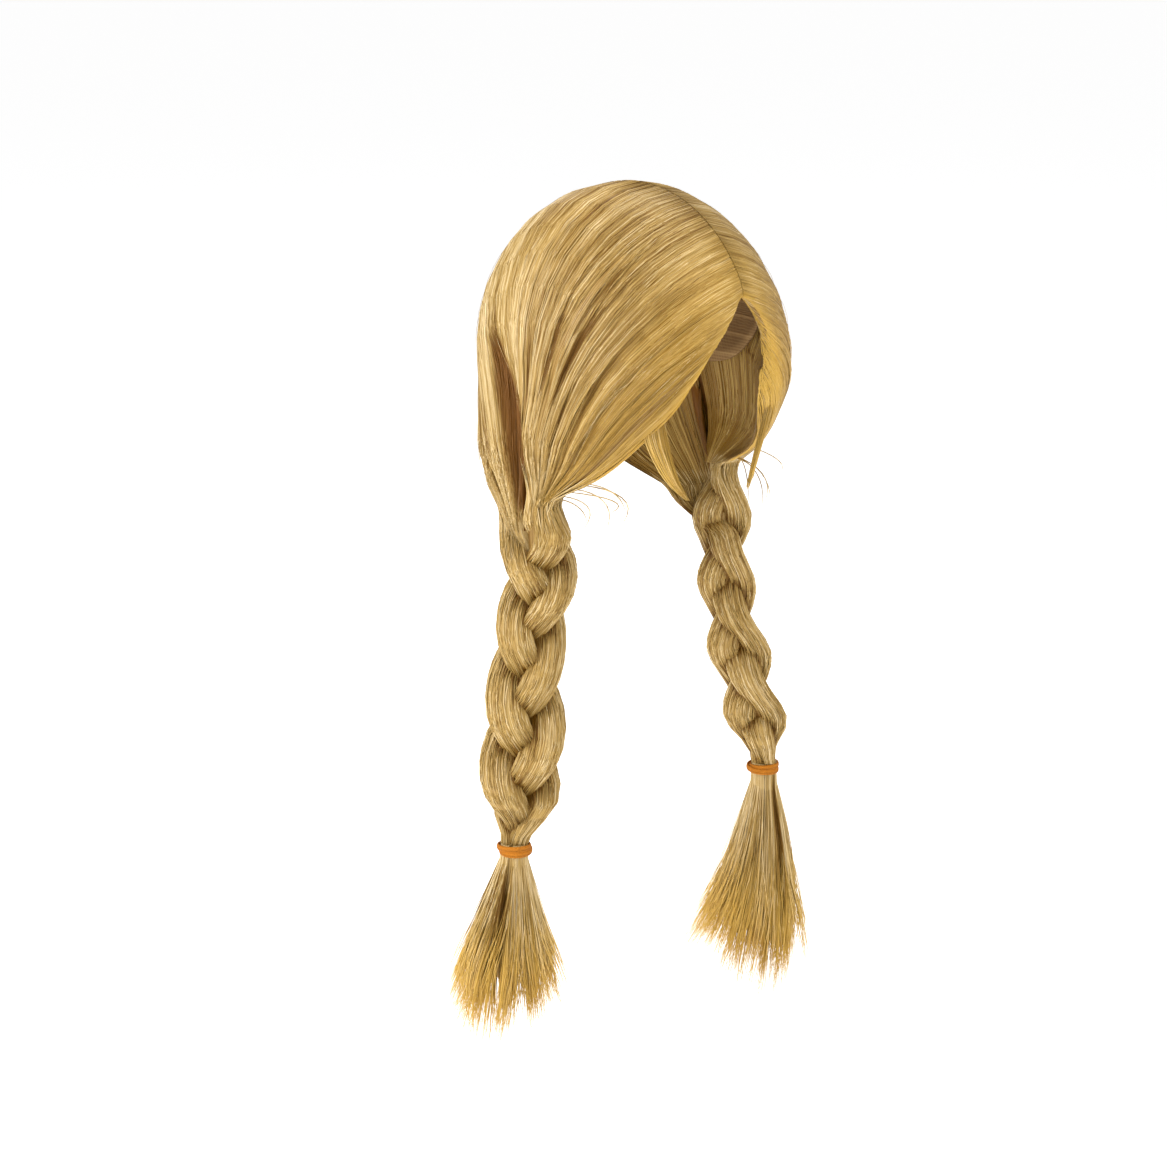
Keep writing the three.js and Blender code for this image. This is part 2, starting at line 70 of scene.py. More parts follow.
level = np.cos(VIEW_RISE)
look = Vector((np.sin(VIEW_TURN) * level, np.cos(VIEW_TURN) * level, -np.sin(VIEW_RISE)))
aside = Vector((np.cos(VIEW_TURN), -np.sin(VIEW_TURN), 0.0))
lens = bpy.data.cameras.new("camera")
lens.sensor_width = SENSOR_MM
lens.lens = SENSOR_MM * FOCAL_PIXELS / PICTURE_SIDE
camera = bpy.data.objects.new("camera", lens)
camera.location = Vector((0.0, 0.0, VIEW_HEIGHT)) - aside * VIEW_ASIDE - look * VIEW_DISTANCE
camera.rotation_euler = look.to_track_quat("-Z", "Y").to_euler()
bpy.context.collection.objects.link(camera)
bpy.context.scene.camera = camera
bpy.context.scene.view_settings.view_transform = "Standard"

# Cap
# A thin stretch-net dome that sits on the head, sized for about 555 mm round.
# The hair is sewn to it in rows, and its edge is turned under into a narrow hem.
CAP = Sizes(width=78.0, front=97.0, back=100.0, top=95.0, low=140.0, centre=-95.0)
CAP_WALL = 1.5
CAP_AROUND = 96
CAP_DOWN = 30
CAP_POLE = 1.5
CAP_HEM = 0.6
HEM_START = 0.94
HEM_END = 0.97
NET_PITCH = 1.6
NET_ROUND = 1.5
NET_DOWN = 1.75
NET_CLOUDS = 60.0
SEWN_ROW_PITCH = 11.0
SEWN_ROW_POWER = 24.0
NET_DARK = (0.16, 0.085, 0.03, 1.0)
NET_LIGHT = (0.36, 0.22, 0.09, 1.0)
MILLIMETRE = 0.001
WHOLE_PATCH = (0.01, 0.01, 0.99, 0.99)
PATCH_MARGIN = 0.02


def columns(names, *rows):
    """A table with named columns, as one array for each name."""
    return dict(zip(names.split(), np.array(rows, float).T))


def together(*parts):
    """Arrays spread to one shape and set side by side as the numbers of a vector."""
    return np.stack(np.broadcast_arrays(*parts), axis=-1)


CAP_EDGE = columns(
    "around height",
    (0, -66), (40, -84), (75, -124), (110, -132), (145, -152), (180, -164),
)


def curve(before, start, end, after, w):
    """Hermite curve from start to end, its slopes half the step from the value before to the one after."""
    leave, arrive, rise = (end - before) / 2, (after - start) / 2, end - start
    return start + w * leave + w**2 * (3 * rise - 2 * leave - arrive) + w**3 * (leave + arrive - 2 * rise)


def through_rows(values, share):
    """Curve through evenly spread values, straight on past both ends."""
    values = np.concatenate([[2 * values[0] - values[1]], values, [2 * values[-1] - values[-2]]])
    place = np.clip(share, 0, 1) * (len(values) - 3)
    row = np.minimum(place.astype(int), len(values) - 4)
    return curve(*(values[row + k] for k in range(4)), place - row)


def at_row(table, column, known, value):
    """Value of a column where the known column, which only rises or only falls, has a value."""
    order = np.argsort(table[known])
    share = np.interp(value, table[known][order], order / (len(order) - 1))
    return through_rows(table[column], share)


def on_form(form, direction, lift):
    """Egg-shaped form: a direction stretched by one half-length to each side, raised by a lift."""
    length = np.where(direction[..., 1] < 0, form.front, form.back)
    height = np.where(direction[..., 2] > 0, form.top, form.low)
    return direction * together(form.width + lift, length + lift, height + lift) + (0, 0, form.centre)


def side_direction(around, down):
    """Unit direction at an angle round from the face and down from the crown, both in degrees."""
    around, down = np.radians(around), np.radians(down)
    return together(np.sin(down) * np.sin(around), -np.sin(down) * np.cos(around), np.cos(down))


def quads(grids):
    """Corners of the cells of grids (count, rows, columns), in order round each cell."""
    return np.stack([grids[:, :-1, :-1], grids[:, :-1, 1:], grids[:, 1:, 1:], grids[:, 1:, :-1]], axis=3)


def shell(points, faces, corners, flow, tint):
    """A surface: its points, faces, their corners' places in the picture, and each point's flow and tint.
    Faces are turned to look outward, by the volume of the quads, summed from the origin."""
    a, b, c, d = (points[faces[0][:, k]] for k in range(4))
    if np.einsum("ij,ij->", a, np.cross(b, c) + np.cross(c, d)) < 0:
        faces = [f[:, ::-1] for f in faces]
        corners = [c[:, ::-1] for c in corners]
    return dict(points=points, faces=faces, corners=corners, flow=flow, tint=tint)


def skin(rings, flow, tint, patch, closed=False):
    """Closed surface over a stack of rings (rows, around, 3): quads from ring to ring, and across each end
    a strip of quads between opposite points. A closed stack joins its last ring to its first.
    The picture patch (left, low, right, high) holds the stack unrolled, around by rows."""
    rows, around = rings.shape[:2]
    index = np.arange(rows * around).reshape(rows, around)
    left, low, right, high = patch
    margin = PATCH_MARGIN * (high - low)
    u = left + (right - left) * np.arange(around + 1) / around
    v = low + margin + (high - low - 2 * margin) * np.linspace(0, 1, rows + closed)
    if closed:
        index = np.concatenate([index, index[:1]])
    wrapped = np.concatenate([index, index[:, :1]], axis=1)
    place = np.stack(np.meshgrid(u, v), axis=-1)
    faces = [quads(wrapped[None]).reshape(-1, 4)]
    corners = [quads(place[None]).reshape(-1, 4, 2)]
    if not closed:
        half = around // 2
        for ring, base, order in ((index[0], low, 1), (index[-1], high - margin / 2, -1)):
            pairs = np.stack([ring[:half], ring[::-1][:half]])
            band = np.stack(np.meshgrid(u[:half], [base, base + margin / 2]), axis=-1)
            faces.append(quads(pairs[None]).reshape(-1, 4)[:, ::order])
            corners.append(quads(band[None]).reshape(-1, 4, 2)[:, ::order])
    wide = (rows, around, 3)
    flow, tint = (np.broadcast_to(values, wide).reshape(-1, 3) for values in (flow, tint))
    return shell(rings.reshape(-1, 3), faces, corners, flow, tint)


def put_up(name, node, skins, finish, side=1):
    """One object made of several skins in millimetres. The right side (-1) is the left side mirrored,
    so its faces are turned round. It rides on the body and stands for its solid."""
    first = np.cumsum([0] + [len(s["points"]) for s in skins])
    points = np.concatenate([s["points"] for s in skins]) * (side * MILLIMETRE, MILLIMETRE, MILLIMETRE)
    order = slice(None, None, side)
    faces = [f[:, order] + start for s, start in zip(skins, first) for f in s["faces"]]
    corners = [c[:, order].reshape(-1, 2) for s in skins for c in s["corners"]]
    sizes = np.concatenate([np.full(len(f), f.shape[1]) for f in faces])
    mesh = bpy.data.meshes.new(name)
    mesh.vertices.add(len(points))
    mesh.vertices.foreach_set("co", points.ravel())
    mesh.loops.add(sizes.sum())
    mesh.loops.foreach_set("vertex_index", np.concatenate([f.ravel() for f in faces]))
    mesh.polygons.add(len(sizes))
    mesh.polygons.foreach_set("loop_start", np.cumsum(sizes) - sizes)
    mesh.update(calc_edges=True)
    unrolled = mesh.uv_layers.new(name="OFBake")
    unrolled.data.foreach_set("uv", np.concatenate(corners).ravel())
    for kind in ("flow", "tint"):
        values = mesh.attributes.new(kind, "FLOAT_VECTOR", "POINT")
        values.data.foreach_set("vector", np.concatenate([s[kind] for s in skins]).ravel())
    mesh.shade_smooth()
    mesh.validate()
    mesh.materials.append(finish)
    made = bpy.data.objects.new(name, mesh)
    bpy.context.collection.objects.link(made)
    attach(made, "root")
    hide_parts(node)
    return made


class Shade:
    """An output in a material's nodes: arithmetic on it adds Math nodes, node() adds any other kind."""

    def __init__(self, tree, output=None):
        self.tree = tree
        self.output = output

    def node(self, kind, settings=None, inputs=None, output=0):
        """A new node: its settings are set first, then the values or links of its sockets."""
        made = self.tree.nodes.new("ShaderNode" + kind)
        for name, setting in (settings or {}).items():
            if name == "stops":
                stops = made.color_ramp.elements
                for _ in setting[2:]:
                    stops.new(1.0)
                for stop, (place, colour) in zip(stops, setting):
                    stop.position = place
                    stop.color = colour
            else:
                setattr(made, name, setting)
        for socket, value in (inputs or {}).items():
            if isinstance(value, Shade):
                self.tree.links.new(value.output, made.inputs[socket])
            else:
                made.inputs[socket].default_value = value
        return Shade(self.tree, made.outputs[output])

    def math(self, operation, first, second=0.0, clamp=False):
        return self.node("Math", {"operation": operation, "use_clamp": clamp}, {0: first, 1: second})

    def blend(self, share, first, second):
        """Colours mixed by a share. The Mix node's colour sockets are its seventh and eighth."""
        return self.node("Mix", {"data_type": "RGBA"}, {0: share, 6: first, 7: second}, output=2)

    def clamp(self):
        return self.math("ADD", self, 0.0, clamp=True)

    def __add__(self, other):
        return self.math("ADD", self, other)

    def __sub__(self, other):
        return self.math("SUBTRACT", self, other)

    def __rsub__(self, other):
        return self.math("SUBTRACT", other, self)

    def __mul__(self, other):
        return self.math("MULTIPLY", self, other)

    def __pow__(self, other):
        return self.math("POWER", self, other)

    __radd__ = __add__


def finish_of(name, paint):
    """A material: paint(start) gives the values and links of its shader's sockets."""
    made = bpy.data.materials.new(name)
    made.use_nodes = True
    shader = made.node_tree.nodes["Principled BSDF"]
    for socket, value in paint(Shade(made.node_tree)).items():
        if isinstance(value, Shade):
            made.node_tree.links.new(value.output, shader.inputs[socket])
        else:
            shader.inputs[socket].default_value = value
    return made


def parts_of(start, attribute):
    """The three numbers of a vector attribute."""
    vector = start.node("Attribute", {"attribute_name": attribute}, output="Vector")
    return [vector.node("SeparateXYZ", inputs={0: vector}, output=axis) for axis in "XYZ"]


def net_paint(start):
    """Net: round holes between threads each way, rows of sewing, and faint clouds of wear."""
    around, down, _ = parts_of(start, "flow")

    def wave(kind, way, pitch):
        return start.math("ABSOLUTE", start.math(kind, way * (np.pi / pitch)))

    thread = 1.0 - wave("SINE", around, NET_PITCH) * wave("SINE", down, NET_PITCH)
    row = wave("COSINE", down, SEWN_ROW_PITCH) ** SEWN_ROW_POWER
    place = start.node("TexCoord", output="Object")
    cloud = start.node("TexNoise", inputs={"Vector": place, "Scale": NET_CLOUDS})
    light = (thread * 0.55 + row * 0.5 + cloud * 0.35 - 0.1).clamp()
    colour = start.node("ValToRGB", {"stops": [(0.0, NET_DARK), (1.0, NET_LIGHT)]}, {"Fac": light})
    height = row + thread * 0.5
    bump = start.node("Bump", inputs={"Strength": 0.6, "Distance": 0.0006, "Height": height})
    return {"Base Color": colour, "Roughness": 0.9, "Normal": bump, "Specular IOR Level": 0.2}


cap_around = np.linspace(0, 360, CAP_AROUND, endpoint=False)
cap_edge = at_row(CAP_EDGE, "height", "around", np.minimum(cap_around, 360 - cap_around))
cap_reach = np.where(cap_edge > CAP.centre, CAP.top, CAP.low)
cap_deepest = np.degrees(np.arccos((cap_edge - CAP.centre) / cap_reach))
cap_fall = np.linspace(0, 1, CAP_DOWN)[:, None]
cap_way = side_direction(cap_around[None], CAP_POLE + (cap_deepest - CAP_POLE)[None] * cap_fall)
cap_hem = -CAP_HEM * np.clip((cap_fall - HEM_START) / (HEM_END - HEM_START), 0, 1)
cap_rings = np.concatenate([on_form(CAP, cap_way, CAP_WALL), on_form(CAP, cap_way, cap_hem)[::-1]])
cap_down = np.concatenate([cap_fall, cap_fall[::-1]]) * cap_deepest[None]
cap_flow = together(cap_around[None] * NET_ROUND, cap_down * NET_DOWN, 0)
cap_skin = skin(cap_rings, cap_flow, np.zeros(3), WHOLE_PATCH)
put_up("cap", "wig_cap", [cap_skin], finish_of("cap_net", net_paint))

# Combed hair
# Straight synthetic fibre sewn to the cap along the parting, combed flat over the head to each side and
# drawn together where the plait begins. Each side has a front and a back section.
DOME = Sizes(width=99.0, front=112.0, back=117.0, top=116.0, low=132.0, centre=-110.0)
CAP_SEAT = 1.0
PARTING_HALF_GAP = 0.35
ROOT_LIFT = -1.2
ROOT_SPAN = 0.2
CROWN_PEAK = 27 / 4
HEAD_SHARE = 0.64
LAST_ON_HEAD = 7 / 8
HANG_DROOP = 4.0
PLAIT_TOP = -206.4
FRONT_HAIR = Sizes(
    rows=columns(
        "root side drop crown lift sag wall",
        (-71, 36, 108, -1, 4, 3, 8),
        (-57, 51, 102, -2.4, 5.8, 5.5, 10),
        (-42, 65, 98.5, -3.2, 5.6, 7, 12),
        (-25, 78, 96.5, -3.2, 4.2, 8, 13),
        (-5, 90, 95.5, -2.2, 2, 7, 13),
        (18, 100, 95.5, 0.2, -1, 3, 11),
    ),
    foot_front=(97, -11),
    foot_back=(103, 6),
    depth=15,
    height=-206,
    fan=1.0,
    sweep=0.4,
    tone=0.45,
    # strength of the painted highlight band on the outer fibres
    pale=0.25,
    tail=22.0,
    draw=0.2,
    tuck=0.0,
    hollows=columns(
        "lock fall wide long deep",
        (0.720, 0.57, 0.020, 0.07, 5.0),
        (0.605, 0.57, 0.016, 0.09, 5.0),
        (0.640, 0.40, 0.012, 0.07, 2.5),
        (0.530, 0.72, 0.014, 0.08, 3.0),
        (0.420, 0.66, 0.010, 0.09, 2.5),
        (0.300, 0.80, 0.012, 0.07, 2.5),
        (0.850, 0.64, 0.020, 0.10, 3.5),
        (0.970, 0.82, 0.070, 0.07, 7.0),
        (0.940, 0.90, 0.080, 0.05, 6.0),
    ),
    locks=17,
    fibres=1500,
    wisps=60,
    hairline=True,
)
BACK_HAIR = Sizes(
    rows=columns(
        "root side drop crown lift sag wall",
        (18.2, 100.6, 96, 0.2, -1.2, 2, 9),
        (42, 126, 97, 0.9, 2, 2, 12),
        (74, 151, 104, 1, 3, 10, 13),
        (107, 174, 112, 0, 0, 11, 10),
    ),
    foot_front=(107, 11),
    foot_back=(88, 44),
    depth=9,
    height=-227.7,
    fan=2.2,
    sweep=0.0,
    tone=0.72,
    pale=0.0,
    tail=30.0,
    draw=0.0,
    tuck=0.6,
    hollows=columns(
        "lock fall wide long deep",
        (0.12, 0.60, 0.045, 0.06, 5.0),
        (0.10, 0.68, 0.060, 0.07, 8.0),
        (0.05, 0.77, 0.070, 0.08, 9.0),
        (0.00, 0.86, 0.090, 0.07, 9.0),
        (0.45, 0.80, 0.030, 0.10, 2.0),
        (0.25, 0.86, 0.020, 0.08, 2.5),
    ),
    locks=10,
    fibres=900,
    wisps=30,
    hairline=False,
)
PLAIT_PATH = columns(
    "height out back",
    (-200, 94, 0), (-255, 95, -1), (-310, 105, 1), (-370, 117, -5.5), (-415, 126, -12), (-446, 133, -13),
)
SECTION_COLUMNS = 90
SECTION_ROWS = 42
SECTION_WIDE = 210.0
SECTION_LONG = 330.0
SWEEP_END = 0.75
DRAW_START = 0.76
TUCK_FALL = (0.78, 1.05)
TAIL_PULL = 0.9
PARTED_FALL = (0.66, 0.85)
EDGE_POWER = 7
LOCK_WIDTHS = (0.4, 1.6)
LOCK_RELIEF = 1.5
LOCK_LIFT = 1.1
LOCK_DRIFT = 0.010
LOCK_TONE = 0.10
LOCK_GATHER = 0.16
RELIEF_FALL = (0.06, 0.45)
GATHER_FALL = (0.1, 0.5)
DRIFT_FALL = (0.15, 0.6)
STEADY_FALL = (0.8, 1.0)
BASE_SINK = 0.9
# Painted shade in the hair's tint: over the whole base, beside lock edges, per millimetres of hollow, and on
# the inner face.
BASE_SHADE = 0.2
GROOVE_SHADE = 0.3
GROOVE_FALL = (0.02, 0.2)
HOLLOW_SHADE = 3.0
INNER_SHADE = 0.85
INNER_STREAKS = 500.0
CLEFT_STREAKS = 700.0
FIBRE_POINTS = 14
WISP_POINTS = 10
ROOT_STEP = 0.004
ROOT_END = 0.08
TIP_START = 0.72
OUTER_FIBRES = Sizes(
    lock=(0.005, 1.005), drift=0.009, lift=(-0.5, 0.5), tone=0.17, half_wide=0.38, half_thick=0.28,
    wider=(0.6, 1.35), thicker=(0.7, 1.3), edge_shade=0.35, edge_fall=(0.1, 0.4), root_shade=0.4,
    root_fall=(0.0, 0.008), pale_lock=(0.45, 0.75), pale_fall=(0.3, 0.6), patch=(0.4, 0.88),
)
INNER_FIBRES = Sizes(
    one_for=7, start=(0.5, 0.62), lift=(-0.2, 0.5), tone=(0.2, 0.6), gold=0.2, shade=0.3, edge_shade=0.6,
    edge=(0.22, 0.4), half=(0.8, 0.3), patch=(0.89, 0.93),
)
WISPS = Sizes(
    lock=(0.1, 1.0), start=(0.1, 0.7), span=(0.2, 0.45), bow=(0.6, 3.0), arc=(0.6, 1.0), drift=0.03,
    tone=0.7, half=(0.13, 0.13), patch=(0.935, 0.95), taper=(0.3, 0.3),
)
LOOSE_STRANDS = Sizes(
    count=6, lock=0.03, fall=(0.86, 0.99), forward=(14, 42), arc=(0.4, 0.75), droop=(4, 30), inward=0.3,
    tone=0.8, half=(0.5, 0.4), patch=(0.952, 0.962), taper=(0.4, 0.6),
)
CLEFT_FIBRES = Sizes(
    count=110, top=0.02, over=(-0.1, 1.1), lift=(0.05, 0.3), wide=20, tone=(0.2, 0.7), shade=0.9,
    half=(0.8, 0.4), patch=(0.965, 0.995),
)
COMB_CALM = 0.4
FACE_CALM = 0.8
FACE_RIM = (0.0, 0.14)
FACE_ZONE = (0.15, 0.55)
FACE_GOLD = 0.4
# Painted shade over the hairline zone behind its rim, from partway down.
FACE_DEEP = 0.36
FACE_DEEP_FALL = (0.1, 0.45)
# Millimetres of hollow that give full painted red-brown shade.
RED_SHADE_HOLLOW = 6.0
COMB_SEEDS = dict(left=11, right=12)
PATCH_EDGE = 0.005
BASE_PATCH = (0.005, 0.39)
CELL_INSET = (0.1, 0.05)
TINY = 1e-9
# Hair ramp from dark to pale; its dark end also serves the painted shade.
HAIR_DEEP = (0.130, 0.053, 0.001, 1.0)
HAIR_MIDDLE = (0.395, 0.252, 0.072, 1.0)
HAIR_PALE = (0.775, 0.615, 0.355, 1.0)
HAIR_GOLD = (0.660, 0.405, 0.070, 1.0)
# Painted red-brown shade for the cleft and the hollows beside it.
HAIR_SHADE_RED = (0.150, 0.054, 0.006, 1.0)


def ease(value, start, end):
    """Smooth step from 0 at start to 1 at end."""
    t = np.clip((value - start) / (end - start), 0, 1)
    return t * t * (3 - 2 * t)


def unit(vectors):
    """Vectors brought to length one."""
    return vectors / np.maximum(np.linalg.norm(vectors, axis=-1, keepdims=True), TINY)


def plait_middle(height):
    """Middle line of the plait at each height."""
    out = at_row(PLAIT_PATH, "out", "height", height)
    back = at_row(PLAIT_PATH, "back", "height", height)
    return together(out, back, height)


def section_faces(hair, share, fall):
    """Outer and inner face of a section of combed hair. share runs from its front edge to its back edge,
    fall from the parting to the plait. On the head a line turns evenly from its root on the parting to
    a point at the side, on the dome outside and on the cap inside. From there it hangs to the plait on
    a curve through a point between, pushed out by its sag."""
    share, fall = np.broadcast_arrays(share, fall)
    row = {name: through_rows(values, share) for name, values in hair.rows.items()}
    start = together(0, np.sin(np.radians(row["root"])), np.cos(np.radians(row["root"])))
    end = side_direction(row["side"], row["drop"])
    turn = np.arccos((start * end).sum(-1, keepdims=True))

    def on_head(part):
        sweep = np.sin((1 - part) * turn.squeeze(-1))[..., None] * start
        way = (sweep + np.sin(part * turn.squeeze(-1))[..., None] * end) / np.sin(turn)
        lift = ROOT_LIFT * (1 - ease(part, 0, ROOT_SPAN)) + row["lift"] * part**2
        lift = lift + row["crown"] * CROWN_PEAK * part * (1 - part) ** 2
        return on_form(DOME, way, lift), on_form(CAP, way, CAP_WALL + CAP_SEAT)

    mix = share[..., None]
    foot = np.concatenate(
        [
            (1 - mix) * np.array(hair.foot_front) + mix * np.array(hair.foot_back),
            np.full(mix.shape, hair.height),
        ],
        axis=-1,
    )
    across = np.subtract(hair.foot_back, hair.foot_front)
    inward = unit(np.array([-across[1], across[0], 0.0]))
    on_side = on_head(np.ones_like(share))
    outward = unit(on_side[0] * (1, 1, 0))
    hang = (on_side[0] + foot) / 2 + outward * row["sag"][..., None] - (0, 0, HANG_DROOP)
    stations = (
        (hang, foot),
        (hang - outward * row["wall"][..., None], foot + inward * hair.depth),
    )
    before = on_head(np.full_like(share, LAST_ON_HEAD))
    head = on_head(np.clip(fall / HEAD_SHARE, 0, 1))
    w = np.clip((fall - HEAD_SHARE) / (1 - HEAD_SHARE), 0, 1)[..., None]
    faces = []
    for last, side, (middle, low), above in zip(before, on_side, stations, head):
        upper = curve(last, side, middle, low, np.clip(2 * w, 0, 1))
        lower = curve(side, middle, low, 2 * low - middle, np.clip(2 * w - 1, 0, 1))
        point = np.where((fall < HEAD_SHARE)[..., None], above, np.where(w < 0.5, upper, lower))
        point[..., 0] = np.maximum(point[..., 0], PARTING_HALF_GAP)
        faces.append(point)
    return faces


def strip(left, right):
    """Patch of the picture between two shares of its width."""
    return left, PATCH_EDGE, right, 1 - PATCH_EDGE


def spaced(points):
    """Shares of a length at some points. The first span is short, so the shading of a cut root ends there."""
    return np.concatenate([[0, ROOT_STEP], np.linspace(0, 1, points - 1)[1:]])


def fibres(paths, outward, half_wide, half_thick, flow, tint, patch, tip=0.25, root=0.5):
    """Closed three-sided tubes along paths (count, points, 3), one corner facing outward, flattened on
    the surface, thinner at the root and drawn to a point at the tip. Each has a cell of the patch."""
    count, steps = paths.shape[:2]
    forward = unit(np.gradient(paths, axis=1))
    sideways = unit(np.cross(forward, outward))
    upward = np.cross(sideways, forward)
    t = spaced(steps)
    from_root = root + (1 - root) * ease(t, 0, ROOT_END)
    to_tip = tip + (1 - tip) * (1 - ease(t, TIP_START, 1))
    swell = np.minimum(from_root, to_tip)[:, None, None]
    angle = 2 * np.pi * np.arange(3)[:, None] / 3
    wide, thick = ((np.ones(count) * half)[:, None, None, None] * swell for half in (half_wide, half_thick))
    rings = paths[:, :, None] + wide * np.sin(angle) * sideways[:, :, None]
    rings = rings + thick * np.cos(angle) * upward[:, :, None]
    index = np.arange(count * steps * 3).reshape(count, steps, 3)
    wrapped = np.concatenate([index, index[:, :, :1]], axis=2)
    ends = np.concatenate([index[:, 0, ::-1], index[:, -1]])
    left, low, right, high = patch
    cells_wide = int(np.ceil(np.sqrt(count * 3)))
    cells_high = int(np.ceil(count / cells_wide))
    cell = np.array([(right - left) / cells_wide, (high - low) / cells_high])
    order = np.arange(count)
    corner = together(order % cells_wide, order // cells_wide) * cell + (left, low)
    inset = np.array(CELL_INSET)
    spread = inset + (1 - 2 * inset) * np.stack(np.meshgrid(np.arange(4) / 3, t), axis=-1)
    grid = corner[:, None, None] + spread[None] * cell
    grid_ends = np.concatenate([grid[:, 0, 2::-1], grid[:, -1, :3]])
    faces = [quads(wrapped).reshape(-1, 4), ends]
    corners = [quads(grid).reshape(-1, 4, 2), grid_ends]
    each = (count, steps, 3, 3)
    flow, tint = (np.broadcast_to(values[:, :, None], each).reshape(-1, 3) for values in (flow, tint))
    return shell(rings.reshape(-1, 3), faces, corners, flow, tint)


def hair_paint(start):
    """Hair: fine streaks along the fibres over broader soft ones, thin dark lines between locks, each fibre a
    little lighter or darker, and by the tint golden, darkened by painted shade, painted red-brown shade in
    the cleft, or calmer."""
    across, along, tone = parts_of(start, "flow")
    # The tint's second number is painted shade: it takes the colour towards the ramp's dark end.
    gold, deep, calm = parts_of(start, "tint")

    def streaks(fine, long, seed, detail):
        place = start.node("CombineXYZ", inputs={0: across * fine, 1: along * long, 2: seed})
        return start.node("TexNoise", inputs={"Vector": place, "Scale": 1.0, "Detail": detail})

    thin = streaks(1.3, 0.009, 3.0, 2.0)
    broad = streaks(0.32, 0.007, 11.0, 2.0)
    lock = streaks(0.07, 0.005, 19.0, 1.0)
    line = ((0.42 - streaks(0.5, 0.009, 29.0, 1.0)) * 8.0).clamp()
    coarse = (broad * 0.75 + lock * 0.9 - line * 0.35 - 0.78) * (1.0 - calm)
    light = (thin * 1.6 + coarse + tone * 0.6 - 0.69 - deep * 0.6).clamp()
    stops = [(0.0, HAIR_DEEP), (0.5, HAIR_MIDDLE), (1.0, HAIR_PALE)]
    plain = start.node("ValToRGB", {"stops": stops}, {"Fac": light})
    golden = start.blend((gold * 0.8).clamp(), plain, HAIR_GOLD)
    # Painted red-brown shade where the first tint number is below zero.
    colour = start.blend((gold * -0.8).clamp(), golden, HAIR_SHADE_RED)
    bump = start.node("Bump", inputs={"Strength": 0.45, "Distance": 0.0003, "Height": thin + broad})
    return {
        "Base Color": colour,
        "Roughness": 0.32 + thin * 0.2,
        "Normal": bump,
        "Specular IOR Level": 0.34,
        "Specular Tint": (1.0, 0.93, 0.76, 1.0),
    }


def drawn(hair, fall):
    """Share of a section's width left as its back edge is drawn forward into the plait."""
    return 1 - hair.draw * ease(fall, DRAW_START, 1.0)


